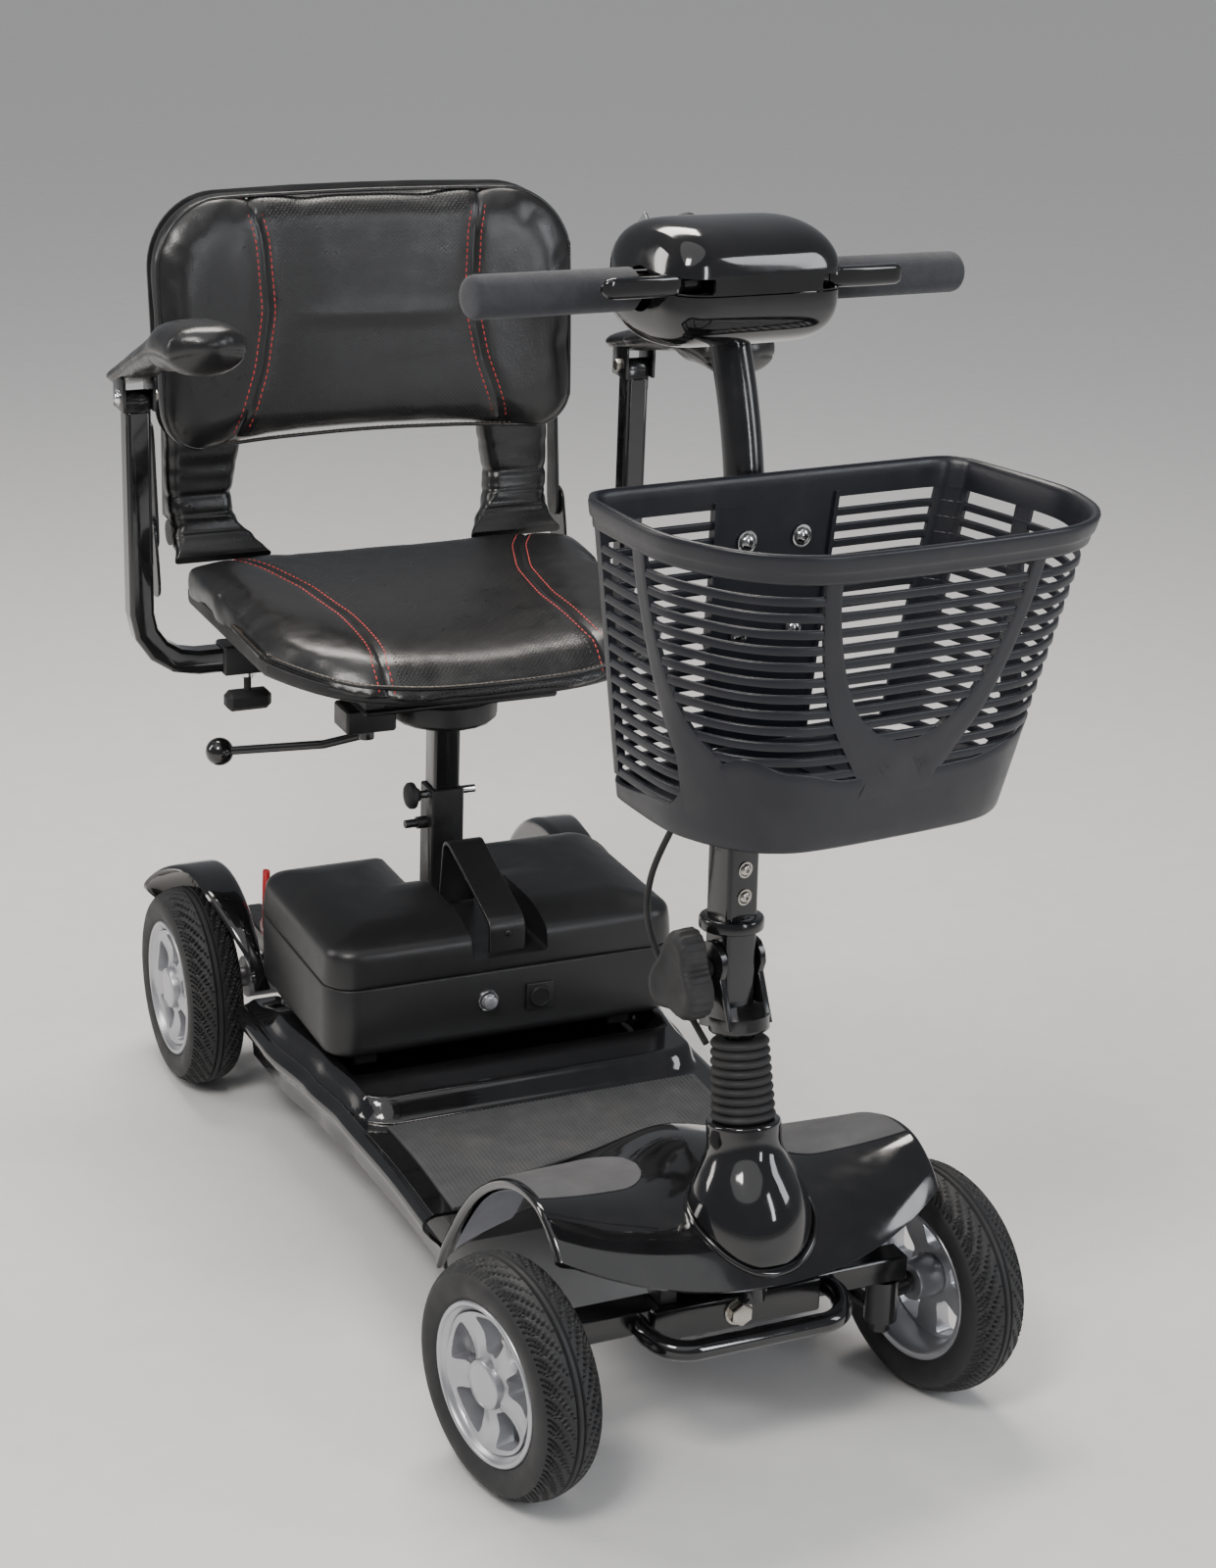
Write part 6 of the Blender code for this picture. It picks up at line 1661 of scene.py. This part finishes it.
def make_backrest():
    shape = ((-0.0272, 0.124), (-0.0272, 0.105), (-0.0271, 0.083), (-0.0270, 0.060), (-0.0268, 0.038),
             (-0.0266, 0.022), (-0.0255, 0.013), (-0.0220, 0.006), (-0.0150, 0.0035), (-0.0080, 0.003),
             (0.0030, 0.004), (0.0090, 0.008), (0.0115, 0.014))
    back = puffed("backrest_cushion_cover", back_loft(shape), 0.0045, 0.008, relax=12)

    def within(points):
        return back_seam(points[:, 2]) - np.abs(points[:, 0])

    def weave(points):
        return np.stack([points[:, 0], points[:, 2], np.zeros(len(points))], axis=1)
    sew(back, within, lambda ways: -ways[:, 1], weave)
    tree = surface_of(back)
    stitches = bmesh.new()
    for side, offset in SEAM_LINES:
        rays = []
        for i in range(70):
            z = 0.8805 - (0.8805 - 0.6300) * i / 69
            slope = (back_seam(z + 0.002) - back_seam(z - 0.002)) / 0.004
            x = side * (back_seam(z) + offset * math.sqrt(1 + slope * slope))
            rays.append((at(x, 0.70, z), Y_AXIS))
        stitch_line(stitches, smooth_line(traced(tree, rays), 4))
    solid("backrest_stitching", stitches, THREAD, "backrest", sharp=80)
    line = []
    for x, z in back_outline(0.0085):
        hit = tree.ray_cast(at(x, 0.70, z), Y_AXIS)[0]
        line.append(hit or at(x, back_depth(x, -0.020, z), z))
    line = [sum((line[(i + j) % len(line)] for j in (-1, 0, 1)), Vector()) / 3 for i in range(len(line))]
    line = fine(line, 3, closed=True)
    solid("backrest_welt", swept([p - Y_AXIS * 0.0002 for p in line], oval(12, 0.0019), Y_AXIS, closed=True),
          LEATHER, "backrest", sharp=80)
    middle_z = (BACK_LOW + BACK_HIGH) / 2
    # tan stitches only on the lower part of the welt: their colour is a painted highlight where warm light
    # falls on the lower edges
    thread_highlight_line = [p + Vector((-p.x * 0.012, -0.0017, (middle_z - p.z) * 0.020)) for p in line]
    bm = bmesh.new()
    for low, run in itertools.groupby(thread_highlight_line, key=lambda p: p.z < 0.690):
        run = list(run)
        if low and len(run) > 4:
            stitch_line(bm, run, 0.0036, 0.0016, 0.00042)
    solid("backrest_welt_highlight_thread", bm, TAN_THREAD_HIGHLIGHT, "backrest", sharp=80)
    finish_pad(back, PERFORATED, "backrest", "backrest_cushion")
    shape = ((0.0080, 0.0060), (0.0120, 0.0062), (0.0138, 0.0085), (0.0146, 0.0140), (0.0150, 0.050))
    solid("backrest_rear_shell", back_loft(shape), PAN, "backrest", sharp=50)


def make_sleeve(label, side):
    """The leather sleeve over one hinge: a fixed shape, curved and creased at the hinge."""
    rings = []
    spine = fine([at(0, 0.884, 0.664), at(0, 0.885, 0.636), at(0, 0.887, 0.605), at(0, 0.886, 0.575),
                  at(0, 0.880, 0.552), at(0, 0.866, 0.536), at(0, 0.845, 0.5255)], 16)
    levels = len(spine) - 1
    for i, middle in enumerate(spine):
        share = i / levels
        half = blend_steps([(0.0, 0.0430), (0.22, 0.0370), (0.50, 0.0325), (0.68, 0.0330), (0.84, 0.0410),
                            (1.0, 0.0490)], share)
        thick = blend_steps([(0.0, 0.0130), (0.35, 0.0165), (0.62, 0.0180), (0.80, 0.0120), (1.0, 0.0040)],
                            share)
        fold = 0.0
        for centre, wide, deep in ((0.30, 0.030, 0.0009), (0.46, 0.020, 0.0016), (0.60, 0.022, 0.0013)):
            fold += deep * math.exp(-(((share - centre) / wide) ** 2))
        half, thick = half - fold * 0.6, thick - fold
        middle_x = side * blend_steps([(0.0, 0.1620), (0.5, 0.1690), (1.0, 0.1560)], share)
        ahead = (spine[min(i + 1, levels)] - spine[max(i - 1, 0)]).normalized()
        over = ahead.cross(X_AXIS).normalized()
        ring = []
        for a, b in rounded_box(half, thick, min(0.0125, thick * 0.9), 6):
            crease = 0.0007 * math.sin(a * 90 + share * 21 + side) * math.sin(share * 40 + a * 25)
            place = middle + X_AXIS * (middle_x + a) + over * (b + crease)
            ring.append(place + ahead * (fold * a * 6 * side))
        rings.append(ring)
    name = "hinge_sleeve_" + label
    bm = loft(rings)
    bmesh.ops.recalc_face_normals(bm, faces=bm.faces)
    sleeve = put(name, as_mesh(name, bm), LEATHER, "seat", sharp=60, ride=False)
    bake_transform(sleeve)


def make_hinge_plates(label, side):
    def plate(corners, x0, x1):
        outline = fine([Vector((s, z, 0)) for s, z in corners], 6, closed=True)
        return loft([[at(side * x, p.x, p.y) for p in outline] for x in (x0, x1)])
    lower = [(0.856, 0.492), (0.868, 0.484), (0.884, 0.490), (0.899, 0.512), (0.903, 0.540), (0.898, 0.556),
             (0.884, 0.561), (0.870, 0.556), (0.864, 0.540), (0.858, 0.515)]
    solid("hinge_plate_" + label, plate(lower, 0.2165, 0.2195), TILLER, "seat", bevel=0.0007)
    upper = [(0.872, 0.545), (0.876, 0.532), (0.884, 0.529), (0.893, 0.532), (0.898, 0.545), (0.900, 0.580),
             (0.903, 0.620), (0.902, 0.650), (0.892, 0.654), (0.884, 0.645), (0.878, 0.600)]
    solid("hinge_arm_" + label, plate(upper, 0.2125, 0.2158), FRAME, "backrest", bevel=0.0007)
    dome_screw(at(side * 0.2193, BACK_STATION, BACK_HINGE_Z), X_AXIS * side, 0.0062, 0.0034,
               "hinge_bolt_" + label, "seat", ZINC, 0.0085)
    dome_screw(at(side * 0.2156, 0.893, 0.630), X_AXIS * side, 0.0042, 0.0022, "hinge_arm_screw_" + label,
               "backrest", ZINC, 0.0056)


# ---------------------------------------------------------------- armrests
ARM_X, ARM_STATION, ARM_LOW_Z, ARM_TOP_Z = 0.257, 0.790, 0.441, 0.693
PAD_SLOPE = {"right": 0.360, "left": 0.245}


def pad_lift(label, offset):
    """The height of a pad's top over its hinge: it rises forwards and droops at the nose."""
    rise = 0.034 - PAD_SLOPE[label] * 1.20 * offset
    return rise - 0.028 * max(0.0, (-offset - 0.145) / 0.105) ** 2


def pad_depth(offset):
    return blend_steps([(-0.250, 0.032), (-0.225, 0.047), (-0.170, 0.043), (-0.105, 0.0270),
                        (-0.040, 0.0215), (0.0, 0.0195), (0.040, 0.0180)], offset)


def make_armrest(label, side):
    hinge = at(side * ARM_X, ARM_STATION, ARM_TOP_Z + 0.013)
    rings = []
    shape = rounded_box(1.0, 1.0, 0.85, 5)
    for i in range(37):
        offset = 0.0400 - 0.2900 * (i / 36)
        half = blend_steps([(-0.250, 0.026), (-0.230, 0.0385), (-0.185, 0.0410), (-0.110, 0.0290),
                            (0.040, 0.0220)],
                           offset)
        thick = pad_depth(offset)
        end = min(1.0, (0.0405 - offset + 0.0010) / 0.012, (offset + 0.2500 + 0.001) / 0.018)
        round_off = math.sqrt(max(0.08, 1 - (1 - end) ** 2))
        middle = hinge + Vector((0.0, offset, pad_lift(label, offset) - thick / 2))
        rings.append([middle + X_AXIS * ((half - 0.0015) * a * round_off)
                      + Z_AXIS * ((thick / 2 - 0.0012) * b * round_off) for a, b in shape])
    pad = puffed("armrest_pad_" + label + "_cover", loft(rings), 0.0035, 0.0030, relax=3)
    points, ways = coordinates(pad.data), normals(pad.data)
    spine = points[:, 1] - hinge.y
    level = hinge.z + np.array([pad_lift(label, y) - 0.62 * pad_depth(y) for y in spine])
    gap = np.abs(points[:, 2] - level)
    flank = np.clip(np.abs(ways[:, 0]) * 2, 0, 1)
    points = points - ways * (0.0010 * np.exp(-((gap / SEAM_WIDTH) ** 2)) * flank)[:, None]
    pad.data.vertices.foreach_set("co", points.ravel())
    finish_pad(pad, LEATHER, label + "_pad", "armrest_pad_" + label)
    bm = bmesh.new()
    for x in (0.0128, -0.0162):
        slab(hinge + Vector((x, -0.016, -0.012)), hinge + Vector((x + 0.0034, 0.018, 0.020)), 0.0010, 2, bm)
    solid("armrest_bracket_" + label, bm, TILLER, label + "_pad")
    heart = hinge - Z_AXIS * 0.0035
    bm = soft_rod(heart - X_AXIS * 0.0118, heart + X_AXIS * 0.0122, 0.0098)
    block(side * ARM_X - 0.0118, side * ARM_X + 0.0122, ARM_STATION - 0.0098, ARM_STATION + 0.0098,
          ARM_TOP_Z - 0.012, heart.z, 0.001, 2, bm)
    solid("armrest_knuckle_" + label, bm, TILLER, label + "_armrest")
    outward = X_AXIS * side
    dome_screw(hinge + outward * 0.0162, outward, 0.0056, 0.0036, "armrest_bolt_" + label, label + "_pad",
               CHROME, 0.0080)
    bm = turned([(0, 0), (0.0066, 0), (0.0066, 0.0042), (0.0058, 0.0050), (0, 0.0050)],
                hinge - outward * 0.0162, -outward, 6)
    solid("armrest_nut_" + label, bm, ZINC, label + "_pad", bevel=0.0005)
    collar_top = at(side * 0.150, ARM_STATION, ARM_LOW_Z - 0.0160)
    bm = turned([(0.0041, 0.0), (0.0090, 0.0), (0.0090, 0.0040), (0.0080, 0.0050), (0.0041, 0.0050)],
                collar_top, -Z_AXIS, 28)
    solid("armrest_knob_collar_" + label, bm, CHROME, label + "_clamp")


make_seat()
make_backrest()
for label, side in SIDES:
    make_sleeve(label, side)
    make_hinge_plates(label, side)
    make_armrest(label, side)


# ---------------------------------------------------------------- metalwork that keeps its own shape
KEEP = [
    ("front_axle_beam", TILLER, "frame_black", 0.0014), ("knuckle_right", TILLER, "frame_black", 0.0006),
    ("knuckle_left", TILLER, "frame_black", 0.0006), ("tie_rod_right", FRAME, "frame_black", 0.0004),
    ("tie_rod_left", FRAME, "frame_black", 0.0004), ("steering_stem", TILLER, "frame_black", 0.0009),
    ("deck_frame", FRAME, "frame_black", 0.0015), ("rear_frame", FRAME, "frame_black", 0.0015),
    ("transaxle", CAST, "cast_alloy", 0.0010), ("freewheel_lever", RED, "red_plastic", 0.0010),
    ("seat_post_sleeve", FRAME, "frame_black", 0.0010), ("seat_post", TILLER, "frame_black", 0.0010),
    ("seat_base", FRAME, "frame_black", 0.0010), ("backrest_frame", FRAME, "frame_black", 0.0010),
    ("armrest_tube_right", GLOSS, "gloss_black", 0.0012), ("armrest_tube_left", GLOSS, "gloss_black", 0.0012),
    ("armrest_knob_right", SOFT_BLACK, "satin_plastic", 0.0020),
    ("armrest_knob_left", SOFT_BLACK, "satin_plastic", 0.0020),
]
BODY_OF = {node: name for name, nodes in frame["record"]["behaviour"]["bodies"].items() for node in nodes}


BALL_R = 0.0136


def make_small_controls():
    """The locking pin, the swivel lever and the hex bolt in the axle, in their own finishes."""
    pin = at(0, 0.645, 0.331)
    solid("seat_pin_shaft", soft_rod(pin - X_AXIS * 0.030, pin + X_AXIS * 0.034, 0.0040), CHROME,
          BODY_OF["seat_pin"], ("seat_pin",))
    knob = [(0, 0), (0.0060, 0), (0.0075, 0.0025), (0.0125, 0.0052), (0.0132, 0.0072), (0.0128, 0.0105),
            (0.0105, 0.0128), (0.0050, 0.0138), (0, 0.0140)]
    solid("seat_pin_knob", turned(knob, pin - X_AXIS * 0.024, -X_AXIS, 40), SOFT_BLACK, BODY_OF["seat_pin"])
    hinge, ball = at(-0.0840, 0.6310, 0.4050), at(-0.2020, 0.7160, 0.3720)
    path = rounded_path([hinge, at(-0.1180, 0.6560, 0.3900), ball], 0.02, 10)
    bm = swept(path, oval(20, 0.0042), Z_AXIS)
    soft_rod(hinge - Z_AXIS * 0.0040, hinge + Z_AXIS * 0.0065, 0.0080, bm=bm)
    solid("swivel_lever_rod", bm, TILLER, BODY_OF["swivel_lever"], ("swivel_lever",), sharp=50)
    globe = [(BALL_R * math.sin(math.radians(a)), -BALL_R * math.cos(math.radians(a)))
             for a in range(6, 175, 8)]
    solid("swivel_lever_ball", turned([(0, -BALL_R)] + globe + [(0, BALL_R)], ball, Z_AXIS, 40), GLOSS,
          BODY_OF["swivel_lever"], sharp=60)
    heart = at(0, -0.0192, 0.1220)
    bm = turned([(0, -0.001), (0.0122, -0.001), (0.0122, 0.0012), (0, 0.0012)], heart, -Y_AXIS, 36)
    head = [(0, 0.0012), (0.0102, 0.0012), (0.0102, 0.0074), (0.0092, 0.0084), (0, 0.0086)]
    turned(head, heart, -Y_AXIS, 6, bm)
    solid("axle_hex_bolt", bm, ZINC, "chassis", sharp=20, bevel=0.0005)


for node, finish, slot, width in KEEP:
    cad_copy(node, finish, BODY_OF[node], width)
make_small_controls()


# ---------------------------------------------------------------- floor, light and the end
def make_stage():
    floor_look = look("pale_floor", (0.70, 0.69, 0.68), 0.72, tone=0.02, grain=(("noise", 400.0, 0.0002),))
    steps = (-30.0, -12.0, -5.0, -2.0, 0.0, 2.0, 5.0, 12.0, 30.0)
    mesh = as_mesh("studio_floor", grid([[Vector((x, y, 0.0)) for x in steps] for y in steps]))
    floor = link("studio_floor", mesh)
    mesh.materials.append(floor_look)
    mesh.shade_smooth()


def make_light(name, point, target, size, power, colour=(1.0, 1.0, 1.0)):
    data = bpy.data.lights.new(name, "AREA")
    data.shape = "RECTANGLE"
    data.size, data.size_y = size
    data.energy = power
    data.color = colour
    lamp = link(name, data)
    lamp.location = point
    lamp.rotation_euler = (Vector(target) - Vector(point)).to_track_quat("-Z", "Y").to_euler()


def make_sky_light():
    """An even, very soft light from above, so that the floor stays pale far behind the object."""
    data = bpy.data.lights.new("sky_light", "SUN")
    data.energy = 0.85
    data.angle = math.radians(70)
    lamp = link("sky_light", data)
    lamp.rotation_euler = (math.radians(18), math.radians(-14), 0.0)


def make_world():
    world = bpy.data.worlds.new("studio")
    world.use_nodes = True
    world.node_tree.nodes["Background"].inputs["Color"].default_value = (0.62, 0.64, 0.68, 1.0)
    world.node_tree.nodes["Background"].inputs["Strength"].default_value = 0.36
    bpy.context.scene.world = world


make_stage()
make_world()
make_sky_light()
make_light("key_softbox", (-1.5, -1.5, 2.7), (0.0, 0.0, 0.4), (0.75, 0.75), 54.0, (1.0, 0.97, 0.93))
make_light("fill_softbox", (2.4, -1.8, 1.8), (0.0, 0.0, 0.4), (0.7, 1.6), 24.0, (0.93, 0.96, 1.0))
make_light("top_softbox", (0.1, 1.0, 2.5), (0.0, 0.1, 0.4), (1.5, 0.55), 50.0, (1.0, 0.95, 0.88))
make_light("left_strip", (-2.3, 1.2, 1.5), (0.0, 0.1, 0.4), (0.45, 1.5), 23.0, (1.0, 0.96, 0.92))
make_light("front_strip", (0.9, -2.6, 1.3), (0.0, -0.3, 0.5), (0.25, 1.2), 14.0, (0.95, 0.97, 1.0))
